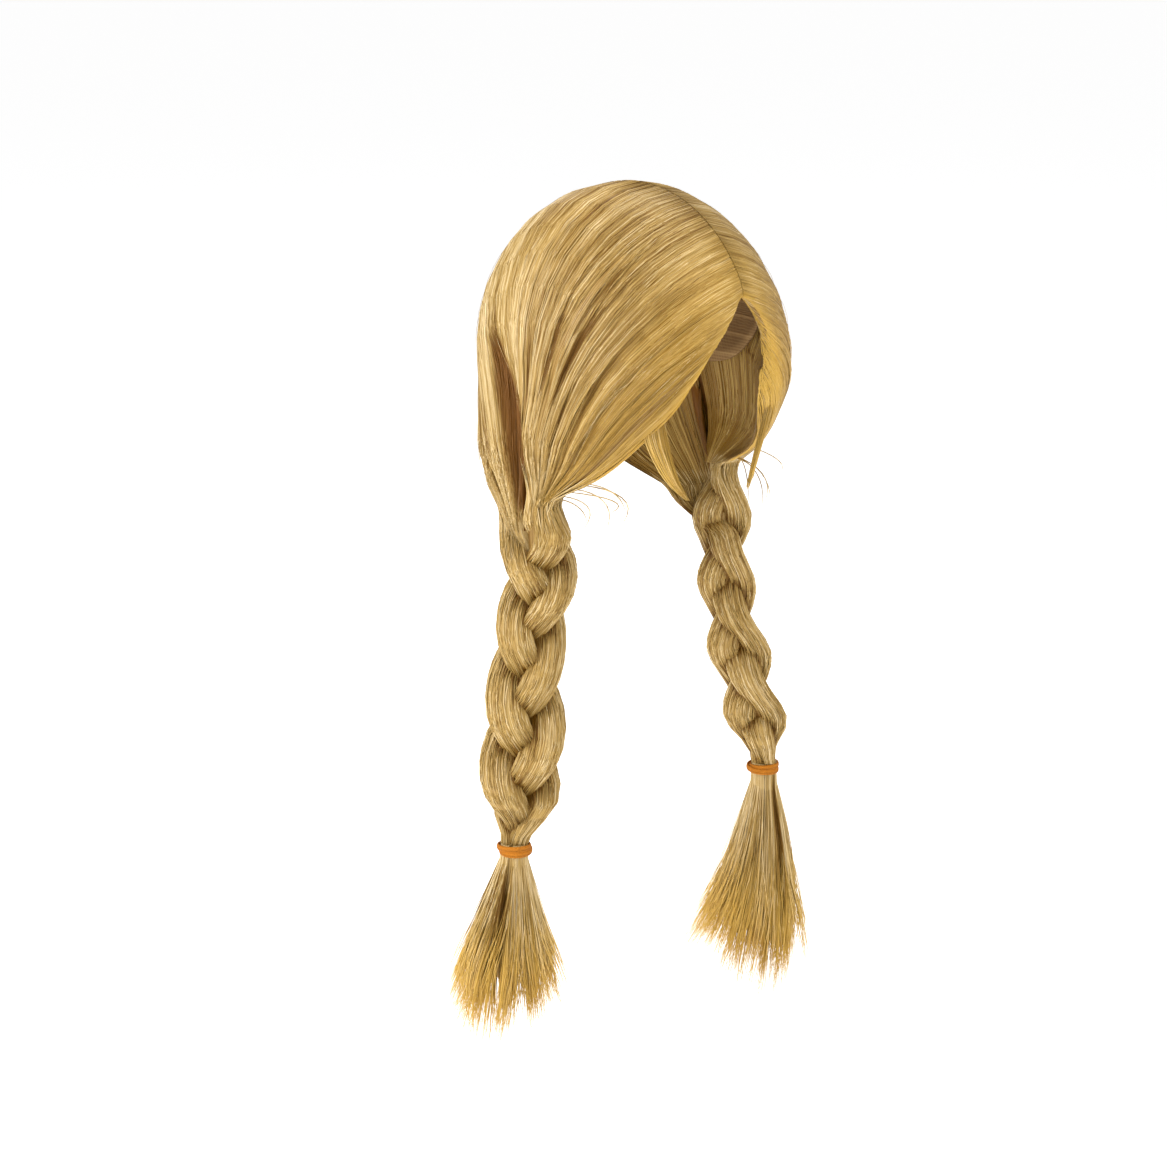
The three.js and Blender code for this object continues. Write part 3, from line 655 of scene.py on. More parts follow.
class CombedSection:
    """Front or back hair of one side. A place on it is a lock, which is a share of its foot from front to
    back, and a fall from the parting to the plait. Towards its root a lock is swept forward, so that the
    foremost ones start on the hairline. Locks are gathered between their edges and dip in a few hollows."""

    def __init__(self, hair, random):
        self.hair = hair
        self.random = random
        edges = np.concatenate([[0], np.cumsum(random.uniform(*LOCK_WIDTHS, hair.locks))])
        self.edges = edges / edges[-1]
        self.lock_lift = random.uniform(-LOCK_LIFT, LOCK_LIFT, hair.locks)
        self.longest = 1 + hair.tail / SECTION_LONG

    def pick(self, span, count):
        """A column of even random draws from a span."""
        return self.random.uniform(*span, count)[:, None]

    def swept(self, fall):
        """How far a lock is swept forward: most at the root, by a square law."""
        return self.hair.sweep * np.clip(1 - fall / SWEEP_END, 0, 1) ** 2

    def share_of(self, lock, fall):
        """A lock's place between the section's front edge and its back edge."""
        return (lock * (1 + self.swept(fall)) - self.swept(fall)) * drawn(self.hair, fall)

    def lock_edges(self, lock):
        """A lock's number, its middle, and the place across it from -1 to 1, 0 beside the section's edges."""
        last = self.hair.locks - 1
        index = np.clip(np.searchsorted(self.edges, lock, side="right") - 1, 0, last)
        low, high = self.edges[index], self.edges[index + 1]
        middle, half = (low + high) / 2, (high - low) / 2
        x = np.clip((lock - middle) / half, -1, 1)
        outermost = ((index == 0) & (x < 0)) | ((index == last) & (x > 0))
        return index, middle, np.where(outermost, 0.0, x)

    def hollow(self, lock, fall):
        """Depth of the hollows, each a bell curve of lock and fall."""
        return sum(
            deep * np.exp(-(((lock - at) / wide) ** 2) - ((fall - down) / long) ** 2)
            for at, down, wide, long, deep in zip(*self.hair.hollows.values())
        )

    def relief(self, lock, fall):
        """Height of the locks: flat on top by a fourth power, each a little higher or lower."""
        index, _, x = self.lock_edges(lock)
        height = (LOCK_RELIEF + self.lock_lift[index]) * (1 - x**4) - LOCK_RELIEF
        return ease(fall, *RELIEF_FALL) * height

    def edge_round(self, share, fall):
        """Share of the wall's thickness left towards the hairline and towards the edges of a cleft."""
        parted = ease(fall, *PARTED_FALL)
        side = np.where(share < 0.5, 1.0 if self.hair.hairline else parted, parted)
        return 1 - side * (1 - np.sqrt(np.maximum(1 - np.abs(2 * share - 1) ** EDGE_POWER, 0.0)))

    def below_foot(self, point, fall):
        """Points past the foot, carried down and drawn towards the middle of the plait."""
        below = np.maximum(fall - 1.0, 0.0)[..., None] * SECTION_LONG
        middle = plait_middle(point[..., 2] - below[..., 0])
        drawn_in = TAIL_PULL * ease(below, 0, self.hair.tail)
        return point + (middle - point) * (1, 1, 0) * drawn_in - below * (0, 0, 1)

    def outer_point(self, lock, fall, height):
        """Point at a height over the outer face, less the hollows, and its outward way."""
        share = np.clip(self.share_of(lock, fall), 0, 1)
        outer, inner = section_faces(self.hair, share, np.minimum(fall, 1.0))
        through = outer - inner
        point = inner + through * self.edge_round(share, fall)[..., None]
        point = point + unit(through) * (height - self.hollow(lock, fall))[..., None]
        return self.below_foot(point, fall), unit(through)

    def red_shade(self, lock, fall):
        """Painted red-brown shade in the hollows beside the cleft, given as gold below zero."""
        return 0 * lock if self.hair.hairline else -np.clip(self.hollow(lock, fall) / RED_SHADE_HOLLOW, 0, 1)

    def base(self):
        """Grooved base from the outer face round to the inner one, with painted shade: a little everywhere,
        more beside the lock edges and in the hollows, and most on the inner face.
        """
        share, fall = np.broadcast_arrays(
            np.linspace(0, 1, SECTION_COLUMNS)[None], self.longest * spaced(SECTION_ROWS)[:, None]
        )
        lock = (share + self.swept(fall)) / (1 + self.swept(fall))
        outside, _ = self.outer_point(lock, fall, self.relief(lock, fall) - BASE_SINK)
        inside = section_faces(self.hair, share * drawn(self.hair, fall), np.minimum(fall, 1.0))[1]
        rings = np.concatenate([outside, self.below_foot(inside, fall)[:, ::-1]], axis=1)
        flow = together(lock * SECTION_WIDE, fall * SECTION_LONG, self.hair.tone)
        flow = np.concatenate([flow, flow[:, ::-1] + (INNER_STREAKS, 0, 0)], axis=1)
        painted_groove_shade = BASE_SHADE + GROOVE_SHADE * self.lock_edges(lock)[2] ** 6
        painted_groove_shade = painted_groove_shade * ease(fall, *GROOVE_FALL) + self.hollow(lock, fall) / HOLLOW_SHADE
        deep = np.concatenate([painted_groove_shade, INNER_SHADE + 0 * share], axis=1)
        gold = np.concatenate([self.red_shade(lock, fall), 0 * share], axis=1)
        return skin(rings, flow, together(gold, deep, COMB_CALM), strip(*BASE_PATCH))

    def outer_fibres(self):
        """Fibres over the outer face, from the parting or the hairline to a little below the foot. They drift
        within their lock and with it. They carry painted shade beside the lock edges, in the hollows and at
        the roots.
        Near the hairline they are calmer and golden, with a lighter rim: most golden there, and left out of
        the painted shade that falls behind it."""
        hair, random, kind = self.hair, self.random, OUTER_FIBRES
        count = hair.fibres
        seed = self.pick(kind.lock, count)
        index, middle, x = self.lock_edges(seed)
        start = 0 * seed
        if hair.sweep:
            reach = np.sqrt(np.clip(seed / np.maximum(1 - seed, TINY) / hair.sweep, 0, 1))
            start = SWEEP_END * (1 - reach)
        end = 1 + self.pick((0.0, 1.0), count) * (self.longest - 1)
        fall = start + (end - start) * spaced(FIBRE_POINTS)
        drift = random.normal(0, kind.drift, count)[:, None] * np.sin(np.pi * np.clip(fall, 0, 1)) ** 2
        drift = drift + random.normal(0, LOCK_DRIFT, hair.locks)[index] * ease(fall, *DRIFT_FALL)
        gathered = (seed - middle) * (1 - LOCK_GATHER * ease(fall, *GATHER_FALL))
        lock = middle + gathered + drift * (1 - ease(fall, *STEADY_FALL))
        lock = lock * (1 - hair.tuck * ease(fall, *TUCK_FALL))
        height = self.relief(seed + 0 * fall, fall) + self.pick(kind.lift, count)
        paths, outward = self.outer_point(lock, fall, height)
        tone = hair.tone + random.normal(0, kind.tone, (count, 1))
        tone = tone + random.normal(0, LOCK_TONE, hair.locks)[index]
        # Painted highlight: the tone is raised over a band of locks partway down the section.
        tone = tone + hair.pale * ease(lock, *kind.pale_lock) * ease(fall, *kind.pale_fall)
        share = self.share_of(lock, fall)
        by_face = 1 - ease(share, *FACE_ZONE) if hair.hairline else 0 * share
        rim = by_face * (1 - ease(share, *FACE_RIM))
        gold = np.maximum(rim, FACE_GOLD * by_face) + self.red_shade(lock, fall)
        # Painted shade beside the lock edges, in the hollows, at the roots along the parting, and behind the
        # hairline rim.
        deep = kind.edge_shade * x**6 * ease(fall, *kind.edge_fall)
        deep = deep + self.hollow(lock, fall) / HOLLOW_SHADE
        deep = deep + kind.root_shade * (1 - ease(fall, *kind.root_fall))
        deep = deep + FACE_DEEP * (by_face - rim) * ease(fall, *FACE_DEEP_FALL)
        tint = together(gold, deep, COMB_CALM + (FACE_CALM - COMB_CALM) * by_face)
        flow = together(lock * SECTION_WIDE, fall * SECTION_LONG, np.clip(tone, 0, 1))
        wide = kind.half_wide * random.uniform(*kind.wider, count)
        thick = kind.half_thick * random.uniform(*kind.thicker, count)
        return fibres(paths, outward, wide, thick, flow, tint, strip(*kind.patch))

    def inner_fibres(self):
        """Fibres on the inner face where the section hangs free, darkened by painted shade, more towards its
        edges.
        """
        kind = INNER_FIBRES
        count = self.hair.fibres // kind.one_for
        share = self.pick((0.0, 1.0), count)
        start = self.pick(kind.start, count)
        fall = start + (1 - start) * spaced(WISP_POINTS)
        outer, inner = section_faces(self.hair, share, fall)
        outward = unit(inner - outer)
        paths = inner + outward * self.pick(kind.lift, count)[..., None]
        tone = self.pick(kind.tone, count)
        flow = together(share * SECTION_WIDE + INNER_STREAKS, fall * SECTION_LONG, tone)
        deep = kind.shade + kind.edge_shade * ease(np.abs(share - 0.5), *kind.edge) + 0 * fall
        tint = together(kind.gold, deep, 0)
        return fibres(paths, outward, *kind.half, flow, tint, strip(*kind.patch))

    def strays(self):
        """Thin wisps bowed off the outer face and, at the hairline, loose strands that arch forward and droop
        by a square law. The strands take their streaks from the first wisps."""
        kind = WISPS
        count = self.hair.wisps
        t = spaced(WISP_POINTS)
        seed = self.pick(kind.lock, count)
        start = self.pick(kind.start, count)
        fall = start + np.minimum(self.pick(kind.span, count), 1.0 - start) * t
        bow = self.pick(kind.bow, count) * np.sin(np.pi * t * self.pick(kind.arc, count))
        lock = np.clip(seed + self.random.normal(0, kind.drift, count)[:, None] * t**1.5, 0, 1)
        paths, outward = self.outer_point(lock, fall, self.relief(seed + 0 * fall, fall) + bow)
        flow = together(lock * SECTION_WIDE, fall * SECTION_LONG, kind.tone)
        skins = [fibres(paths, outward, *kind.half, flow, 0 * flow, strip(*kind.patch), *kind.taper)]
        if self.hair.hairline:
            kind = LOOSE_STRANDS
            count = kind.count
            fall = self.pick(kind.fall, count) + 0 * t
            start, outward = self.outer_point(kind.lock + 0 * fall, fall, 0 * fall)
            forward = self.pick(kind.forward, count) * np.sin(np.pi * t * self.pick(kind.arc, count))
            droop = self.pick(kind.droop, count) * t**2
            paths = start + together(-kind.inward * forward, -forward, -droop)
            flow = together(lock[:count] * SECTION_WIDE, fall * SECTION_LONG, kind.tone)
            strands = fibres(paths, outward, *kind.half, flow, 0 * flow, strip(*kind.patch), *kind.taper)
            skins.append(strands)
        return skins

    def cleft_fibres(self, neighbour):
        """Fibres that fill the cleft from this section's front edge to a neighbour's back edge, painted dark
        red-brown as the shade in the cleft.
        """
        kind = CLEFT_FIBRES
        count = kind.count
        fall = np.linspace(kind.top, 1, FIBRE_POINTS)[None].repeat(count, axis=0)
        outer, inner = section_faces(self.hair, 0 * fall, fall)
        beside = section_faces(neighbour, 1 + 0 * fall, fall)[1]
        over = self.pick(kind.over, count)
        raised = self.pick(kind.lift, count)[..., None] * (outer - inner)
        paths = inner + (beside - inner) * (over * (1 - ease(fall, *STEADY_FALL)))[..., None] + raised
        across = over * kind.wide + CLEFT_STREAKS
        flow = together(across, fall * SECTION_LONG, self.pick(kind.tone, count))
        tint = together(-1 + 0 * fall, kind.shade, 0)
        return fibres(paths, unit(outer - inner), *kind.half, flow, tint, strip(*kind.patch))


hair_finish = finish_of("blonde_fibre", hair_paint)
SIDES = (("left", 1), ("right", -1))
for side, sign in SIDES:
    random = np.random.default_rng(COMB_SEEDS[side])
    for part, hair, neighbour in (("front", FRONT_HAIR, None), ("back", BACK_HAIR, FRONT_HAIR)):
        section = CombedSection(hair, random)
        skins = [section.base(), section.outer_fibres(), section.inner_fibres(), *section.strays()]
        if neighbour:
            skins.append(section.cleft_fibres(neighbour))
        put_up(f"{side}_{part}", f"{side}_{part}_hair", skins, hair_finish, sign)

# Plaits
# Below the ears each side's hair is parted into three strands, crossed over each other down to the tie.
# A strand is round where it is free and pressed flat where it passes its neighbours.
PLAIT_FOOT = -437.6
PLAIT_PITCH = 158.0
PLAITS = dict(
    right=Sizes(
        turn=45,
        edge=-256,
        swing=(1.0, 1.0),
        slip=10.0,
        size=columns(
            "height full",
            (-206, 0.72), (-240, 0.93), (-310, 0.94), (-370, 1.08), (-408, 1.0), (-438, 0.46),
        ),
        leads=columns("aside depth plump", (0, -9, 0.9), (-7, 3, 1.4), (-5, -23, 1.0)),
    ),
    left=Sizes(
        turn=100,
        edge=-233,
        swing=(0.72, 0.8),
        slip=0.0,
        size=columns(
            "height full",
            (-206, 0.66), (-240, 0.88), (-310, 0.9), (-370, 1.0), (-408, 0.96), (-430, 0.72), (-439, 0.5),
        ),
        leads=columns("aside depth plump", (0, 0, 1.1), (0, 0, 1.1), (-22, -9, 1.0)),
    ),
)
PLAIT_SWING = 14.0
PLAIT_DEPTH = 10.5
STRAND_HALF_WIDTH = 13.0
STRAND_HALF_DEPTH = 11.5
STRAND_PLUMP = 1.04
STRAND_PRESS = 12
LEAD_LENGTH = 30.0
LATE_START = PLAIT_TOP - 3 * (PLAIT_TOP - PLAIT_FOOT) / 32
STRANDS = columns("phase start", (0, PLAIT_TOP), (120, PLAIT_TOP), (240, LATE_START))
STRAND_HAIR = (FRONT_HAIR, FRONT_HAIR, BACK_HAIR)
STRAND_ROWS = 84
STRAND_AROUND = 36
STRAND_LOBES = 6
LOBE_DEPTH = 0.03
LOBE_LENGTH = 40.0
LEAST_FACING = 0.02
STRAND_RISE = 10.0
STRAND_RAISED = -0.05
STRAND_LIFT = 0.3
STRAND_TONE = 0.55
STRAND_SHADE = 0.1
STRAND_CALM = 0.55
STRAND_STREAKS = 12
STRAND_FIBRES = Sizes(
    count=200, points=26, rise=(12.0, 48.0), wander=0.10, turns=(1, 3), twist=0.3, raised=(-0.03, 0.03),
    lift=1.6, tone=(0.66, 0.13), half_wide=0.5, half_thick=0.3, wider=(0.6, 1.3), patch=(0.4, 0.96),
    taper=(0.7, 0.3),
)
JOIN_ABOVE = 6.0
JOIN_BELOW = 24.0
FOOT_BELOW = 4.0
LIFT_LENGTH = 36.0
LEAD_SHARE = (0.04, 0.96)
LEAD_DEPTH = (0.02, 0.95)
SLIP_START = -310.0
SHADE_REACH = 0.5
SHADE_LEAST = 0.3
SHADE_DEEP = 1.3
TIE_OVERLAP = 8.0
GATHER_START = -412.0
GATHER = 0.5
HEART_RADIUS = 6.0
HEART_SWELL = 0.7
HEART_WIDEST = -285.0
HEART_TONE = 0.5
HEART_SHADE = 0.5
HEART_PATCH = (0.965, 0.995)
HEART_ROWS = 40
HEART_AROUND = 12
PLAIT_SEEDS = dict(left=21, right=22)


def plait_ways(plait):
    """Level directions across a plait and through its depth."""
    turn = np.radians(plait.turn)
    return np.array([-np.cos(turn), -np.sin(turn), 0.0]), np.array([np.sin(turn), -np.cos(turn), 0.0])


def strand_size(plait, k, height):
    """How far a strand's lead holds, and how full the strand is."""
    lead = 1 - ease(STRANDS["start"][k] - height, 0, LEAD_LENGTH)
    full = at_row(plait.size, "full", "height", height)
    return lead, full, full * (1 + (plait.leads["plump"][k] - 1) * lead)


def strand_middle(plait, k, height):
    """Middle of a strand, across the plait and through its depth: a sine across and a sine of twice the
    turn through the depth, drawn together at the tie, plus the lead from where the strand comes in."""
    fallen = plait.edge - height - plait.slip * ease(height, SLIP_START, PLAIT_TOP)
    turn = 2 * np.pi * fallen / PLAIT_PITCH + np.pi / 2 + np.radians(STRANDS["phase"][k])
    lead, full, _ = strand_size(plait, k, height)
    swing = full * (1 - GATHER * ease(height, GATHER_START, PLAIT_FOOT))
    aside = plait.swing[0] * swing * PLAIT_SWING * np.sin(turn) + lead * plait.leads["aside"][k]
    depth = -plait.swing[1] * swing * PLAIT_DEPTH * np.sin(2 * turn) + lead * plait.leads["depth"][k]
    return together(aside / STRAND_HALF_WIDTH, depth / STRAND_HALF_DEPTH)


def strand_surface(plait, k, angle, height, raised, lobe, pressed):
    """Surface of a strand at an angle and a height: an oval with shallow lobes round it. Pressed, its reach
    is cut by the plane halfway to each neighbour, the cuts rounded by a high power mean. Also its outward
    way and its shade, which grows towards a neighbour and more where the neighbour lies over it."""
    across, face = plait_ways(plait)
    own = strand_middle(plait, k, height)
    spoke = together(np.cos(angle), np.sin(angle))
    free = strand_size(plait, k, height)[2] * STRAND_PLUMP
    free = free * (1 - LOBE_DEPTH * (1 + np.cos(STRAND_LOBES * angle + lobe + height / LOBE_LENGTH)))
    others = [strand_middle(plait, j, height) for j in range(3) if j != k]
    reaches = [free]
    for other in others:
        away = other - own
        far = np.linalg.norm(away, axis=-1)
        facing = (spoke * away).sum(-1) / far
        reaches.append(far / 2 / np.maximum(facing, LEAST_FACING))
    reach = sum(r ** -float(STRAND_PRESS) for r in reaches) ** (-1 / STRAND_PRESS)
    place = own + spoke * ((reach if pressed else free) + raised)[..., None]
    shade = 0
    for other in others:
        gap = np.linalg.norm(place - other, axis=-1) / free - 1
        over = np.clip(0.5 + (other - own)[..., 1] * spoke[..., 1], SHADE_LEAST, 1)
        shade = np.maximum(shade, over * np.clip(1 - gap / SHADE_REACH, 0, 1) ** 2)
    point = plait_middle(height + 0 * angle) + place[..., :1] * STRAND_HALF_WIDTH * across
    point = point + place[..., 1:] * STRAND_HALF_DEPTH * face
    return point, unit(spoke[..., :1] * across + spoke[..., 1:] * face), shade


def section_lead(hair, point, rise):
    """Where a line of a strand comes from: the same place in the foot of its section, carried up by a rise
    between the section's outer and inner face."""
    front, back = (np.array(foot, float) for foot in (hair.foot_front, hair.foot_back))
    along = back - front
    inward = unit(np.array([-along[1], along[0]]))
    share = 0.5 + hair.fan * ((point[..., :2] - front) @ along / (along @ along) - 0.5)
    share = np.clip(share, *LEAD_SHARE) * drawn(hair, 1 - rise / SECTION_LONG)
    deep = (point[..., :2] - front - share[..., None] * along) @ inward / hair.depth
    outer, inner = section_faces(hair, share, 1 - rise / SECTION_LONG)
    return outer + (inner - outer) * np.clip(deep, *LEAD_DEPTH)[..., None]


def strand_line(plait, k, angle, fallen, raised, lobe, pressed, lift):
    """Strand at an angle and a length fallen below the foot of its section: above the foot it follows the
    section, lifted a little off it, below it the plait, blended across the join."""
    start = STRANDS["start"][k]
    low, rise = np.maximum(fallen, 0.0), np.maximum(-fallen, 0.0)
    point, outward, shade = strand_surface(plait, k, angle, start - low, raised, lobe, pressed)
    foot = np.full((len(angle), 1), start - FOOT_BELOW)
    top, _, _ = strand_surface(plait, k, angle[:, :1], foot, raised[:, :1], lobe, True)
    lead = section_lead(STRAND_HAIR[k], np.broadcast_to(top, point.shape), rise)
    lifted = lift * (1 - ease(rise, 0, LIFT_LENGTH))
    lead = lead - low[..., None] * (0, 0, 1) + outward * lifted[..., None]
    point = point + rise[..., None] * (0, 0, 1)
    share = ease(fallen, -JOIN_ABOVE, JOIN_BELOW)[..., None]
    return lead + (point - lead) * share, outward, shade * share[..., 0]


def plait_strand(plait, k, random):
    """Skins of one strand: a lobed base and the fibres along it, which twist and wander a little round it.
    Both carry painted shade near the crossings, the base a little more everywhere.
    """
    lobe = random.uniform(0, 2 * np.pi)
    length = STRANDS["start"][k] - PLAIT_FOOT + TIE_OVERLAP
    angle, fallen = np.broadcast_arrays(
        (2 * np.pi * np.arange(STRAND_AROUND) / STRAND_AROUND)[:, None],
        np.linspace(-STRAND_RISE, length, STRAND_ROWS)[None],
    )
    raised = np.full(angle.shape, STRAND_RAISED)
    rings, _, shade = strand_line(plait, k, angle, fallen, raised, lobe, True, STRAND_LIFT)
    flow = together(angle * STRAND_STREAKS, fallen, STRAND_TONE)
    # Painted shade: a little over the whole base, more near the crossings.
    tint = together(0, STRAND_SHADE + SHADE_DEEP * shade, STRAND_CALM)
    base = skin(*(values.swapaxes(0, 1) for values in (rings, flow, tint)), strip(*BASE_PATCH))

    kind = STRAND_FIBRES
    each = (kind.count, 1)
    t = spaced(kind.points)[None]
    rise = random.uniform(*kind.rise, each)
    fallen = -rise + (length + rise) * t
    turns = t * random.uniform(*kind.turns, each) + random.uniform(0, 1, each)
    angle = random.uniform(0, 2 * np.pi, each) + random.normal(0, kind.twist, each) * t
    angle = angle + kind.wander * np.sin(2 * np.pi * turns)
    raised = random.uniform(*kind.raised, each) + 0 * t
    paths, outward, shade = strand_line(plait, k, angle, fallen, raised, lobe, False, kind.lift)
    flow = together(angle * STRAND_STREAKS, fallen, np.clip(random.normal(*kind.tone, each), 0, 1))
    tint = together(0, SHADE_DEEP * shade, STRAND_CALM)
    half = (kind.half_wide * random.uniform(*kind.wider, kind.count), kind.half_thick)
    return [base, fibres(paths, outward, *half, flow, tint, strip(*kind.patch), *kind.taper)]


def plait_heart(plait):
    """Round filling behind the crossings, fuller towards the top, painted dark as the shade seen between the
    strands.
    """
    height = np.linspace(PLAIT_TOP, PLAIT_FOOT, HEART_ROWS)[:, None]
    angle = (2 * np.pi * np.arange(HEART_AROUND) / HEART_AROUND)[None]
    full = strand_size(plait, 0, height)[1] + HEART_SWELL * ease(height, HEART_WIDEST, PLAIT_TOP)
    ring = together(np.cos(angle), np.sin(angle), 0)
    flow = together(angle * STRAND_STREAKS, height, HEART_TONE)
    rings = plait_middle(height) + HEART_RADIUS * full[..., None] * ring
    return skin(rings, flow, np.array([0, HEART_SHADE, 0]), strip(*HEART_PATCH))


for side, sign in SIDES:
    random = np.random.default_rng(PLAIT_SEEDS[side])
    for k in range(3):
        skins = plait_strand(PLAITS[side], k, random)
        if k == 0:
            skins.append(plait_heart(PLAITS[side]))
        put_up(f"{side}_strand_{k + 1}", f"{side}_plait_strand_{k + 1}", skins, hair_finish, sign)

# Ties
# An orange covered elastic cord laid twice round each plait, one turn crossing the other behind.
TIE_HEIGHT = -444.0
TIE_RADIUS = 10.3
TIE_BULGE = 2.2
CORD_HALF_THICK = 1.0
CORD_HALF_HIGH = 2.2
TIE_SPREAD = 1.95
TIE_CROSSING = np.radians(120)
TIE_STEPS = 140
TIE_SIDES = 12
ELASTIC_DEEP = (0.230, 0.060, 0.001, 1.0)
ELASTIC_BRIGHT = (0.560, 0.200, 0.008, 1.0)


def elastic_paint(start):
    """Covered elastic: fine slanting threads, with brighter fuzz here and there."""
    around, along, _ = parts_of(start, "flow")
    threads = start.math("SINE", along * 5.5 + around * 6.0) * 0.5 + 0.5
    place = start.node("CombineXYZ", inputs={0: around * 4.0, 1: along * 0.8, 2: 1.0})
    fuzz = start.node("TexNoise", inputs={"Vector": place, "Scale": 1.0, "Detail": 3.0})
    light = (threads * 0.45 + fuzz * 0.9 - 0.15).clamp()
    colour = start.node("ValToRGB", {"stops": [(0.0, ELASTIC_DEEP), (1.0, ELASTIC_BRIGHT)]}, {"Fac": light})
    bump = start.node("Bump", inputs={"Strength": 0.7, "Distance": 0.0003, "Height": threads + fuzz})
    return {"Base Color": colour, "Roughness": 0.8, "Normal": bump, "Specular IOR Level": 0.25}


def tie_rings():
    """Cord carried round twice: its radius swells on one of the turns, its height swings once over both."""
    turn = 4 * np.pi * np.arange(TIE_STEPS) / TIE_STEPS
    angle = (2 * np.pi * np.arange(TIE_SIDES) / TIE_SIDES)[None]
    round_way = turn + TIE_CROSSING + np.pi
    radius = TIE_RADIUS + TIE_BULGE * np.maximum(0, np.sin(turn / 2)) ** 2
    outward = together(np.cos(round_way), np.sin(round_way), 0)[:, None]
    reach = radius[:, None] + CORD_HALF_THICK * np.cos(angle)
    rise = TIE_SPREAD * np.cos(turn / 2)[:, None] + CORD_HALF_HIGH * np.sin(angle)
    rings = plait_middle(np.array(TIE_HEIGHT)) + outward * reach[..., None] + rise[..., None] * (0, 0, 1)
    flow = together(angle, (turn * TIE_RADIUS)[:, None], 0)
    return rings, flow


elastic = finish_of("covered_elastic", elastic_paint)
for side, sign in SIDES:
    rings, flow = tie_rings()
    tie = skin(rings, flow, np.zeros(3), WHOLE_PATCH, closed=True)
    put_up(f"{side}_elastic", f"{side}_tie", [tie], elastic, sign)

# Tassels
# The loose ends of the plait below the tie, cut uneven, spreading into tufts that run to points.
TASSEL_TOP = -440.0
TASSEL_NECK = 9.0
TASSEL_NECK_FOOT = -448.2
TASSEL_SPREAD = 9.0
TASSEL_FREE = 0.08
TASSEL_BEND = (0.02, 0.2)
TASSEL_FLARE = 1.15
TASSEL_LONG = 150
TURN_STREAKS = 0.4
DEPTH_STREAKS = 10
TASSEL_CORE = Sizes(
    around=48, rows=22, end=0.86, share=0.86, neck=(0.0, 0.2), draw=0.7, draw_t=(0.55, 0.86), dent=0.4,
    dent_t=(0.05, 0.4), tone=0.6, gold=0.85, gold_t=(0.4, 1.0), shade=0.15, dent_shade=0.6, low_shade=0.3,
    low_t=(0.5, 0.8), patch=(0.005, 0.29),
)
TUFTS = Sizes(
    count=36, step=0.382, jitter=0.05, radial=(0.4, 1.0), length=(0.9, 1.05), sway=8, flare=(0.02, 0.09),
    tone=0.2,
)
LOOSE_ENDS = Sizes(
    count=1850, points=10, spread=17, join=(0.3, 0.85), ragged=(0.82, 1.0, 1.06), radial=0.14,
    radial_limits=(0.2, 1.02), flare=0.03, sway=3, join_t=(0.4, 1.0), tone=(0.8, 0.16), gold=1.1,
    gold_t=(0.3, 1.0), shade=0.5, split_shade=1.1, split_wide=1.3, split_top=(0.04, 0.2),
    split_foot=(0.5, 0.85), half_wide=0.36, half_thick=0.28, wider=(0.6, 1.35), patch=(0.3, 0.995),
    taper=(0.08, 0.7),
)
TASSEL_SEEDS = dict(left=31, right=33)
TASSELS = dict(
    right=Sizes(
        shift=(6, 5),
        bend=(0, 0),
        split=(62, 9),
        locks=columns(
            "turn reach tip",
            (0, 27, 122),
            (46, 32, 117), (80, 32, 128), (136, 34, 108), (180, 26, 114), (225, 33, 116), (270, 28, 112),
            (316, 34, 106), (360, 27, 122),
        ),
    ),
    left=Sizes(
        shift=(2, 2),
        bend=(-9, 9),
        split=(0, 8),
        locks=columns(
            "turn reach tip",
            (0, 26, 172),
            (44, 36, 160), (92, 29, 154), (135, 29, 150), (180, 26, 146), (224, 37, 140), (272, 30, 144),
            (314, 28, 158), (340, 24, 178), (360, 26, 172),
        ),
    ),
)


def turn_way(turn):
    """Level direction at a turn round the plait, in degrees from the face."""
    return together(np.sin(np.radians(turn)), -np.cos(np.radians(turn)), 0)


def apart(first, second):
    """Turn from the second angle to the first, the short way round, in degrees."""
    return (first - second + 180) % 360 - 180


def tassel_point(tassel, turn, radial, t, length, tip_turn):
    """Point of a tassel at a share t of its length: from the neck at one turn outward to the reach of
    its locks at another, shifted evenly and bent by a cube law."""
    shift, bend = (np.array([*way, 0.0]) for way in (tassel.shift, tassel.bend))
    reach = np.interp(tip_turn % 360, tassel.locks["turn"], tassel.locks["reach"]) + TASSEL_SPREAD
    free = np.clip((t - TASSEL_FREE) / (1 - TASSEL_FREE), 0, 1)
    outward = (ease(t, *TASSEL_BEND) * free**TASSEL_FLARE)[..., None]
    root = turn_way(turn) * (TASSEL_NECK * radial)[..., None]
    tip = turn_way(tip_turn) * (reach * radial)[..., None]
    t = t[..., None]
    point = plait_middle(np.array(TIE_HEIGHT)) + root + (tip - root) * outward + shift * t + bend * t**3
    point[..., 2] = TASSEL_TOP - t[..., 0] * length
    return point


def tassel_core(tassel):
    """Flared core under the fibres, dented along the split and drawn in towards its end. Painted shade
    darkens it a little everywhere, more in the dent and towards its end.
    """
    core = TASSEL_CORE
    turn, t = np.broadcast_arrays(
        (360 * np.arange(core.around) / core.around)[None],
        np.linspace(0, core.end, core.rows)[:, None],
    )
    split, parted = tassel.split
    dent = np.exp(-((apart(turn, split) / parted) ** 2)) * ease(t, *core.dent_t)
    radial = core.share + (1 - core.share) * (1 - ease(t, *core.neck))
    radial = (radial - core.draw * ease(t, *core.draw_t)) * (1 - core.dent * dent)
    length = np.interp(turn, tassel.locks["turn"], tassel.locks["tip"])
    rings = tassel_point(tassel, turn, radial, t, length, turn)
    flow = together(turn * TURN_STREAKS + DEPTH_STREAKS, t * TASSEL_LONG, core.tone)
    deep = core.shade + core.dent_shade * dent + core.low_shade * ease(t, *core.low_t)
    tint = together(core.gold * ease(t, *core.gold_t), deep, 0)
    return skin(rings, flow, tint, strip(*core.patch))


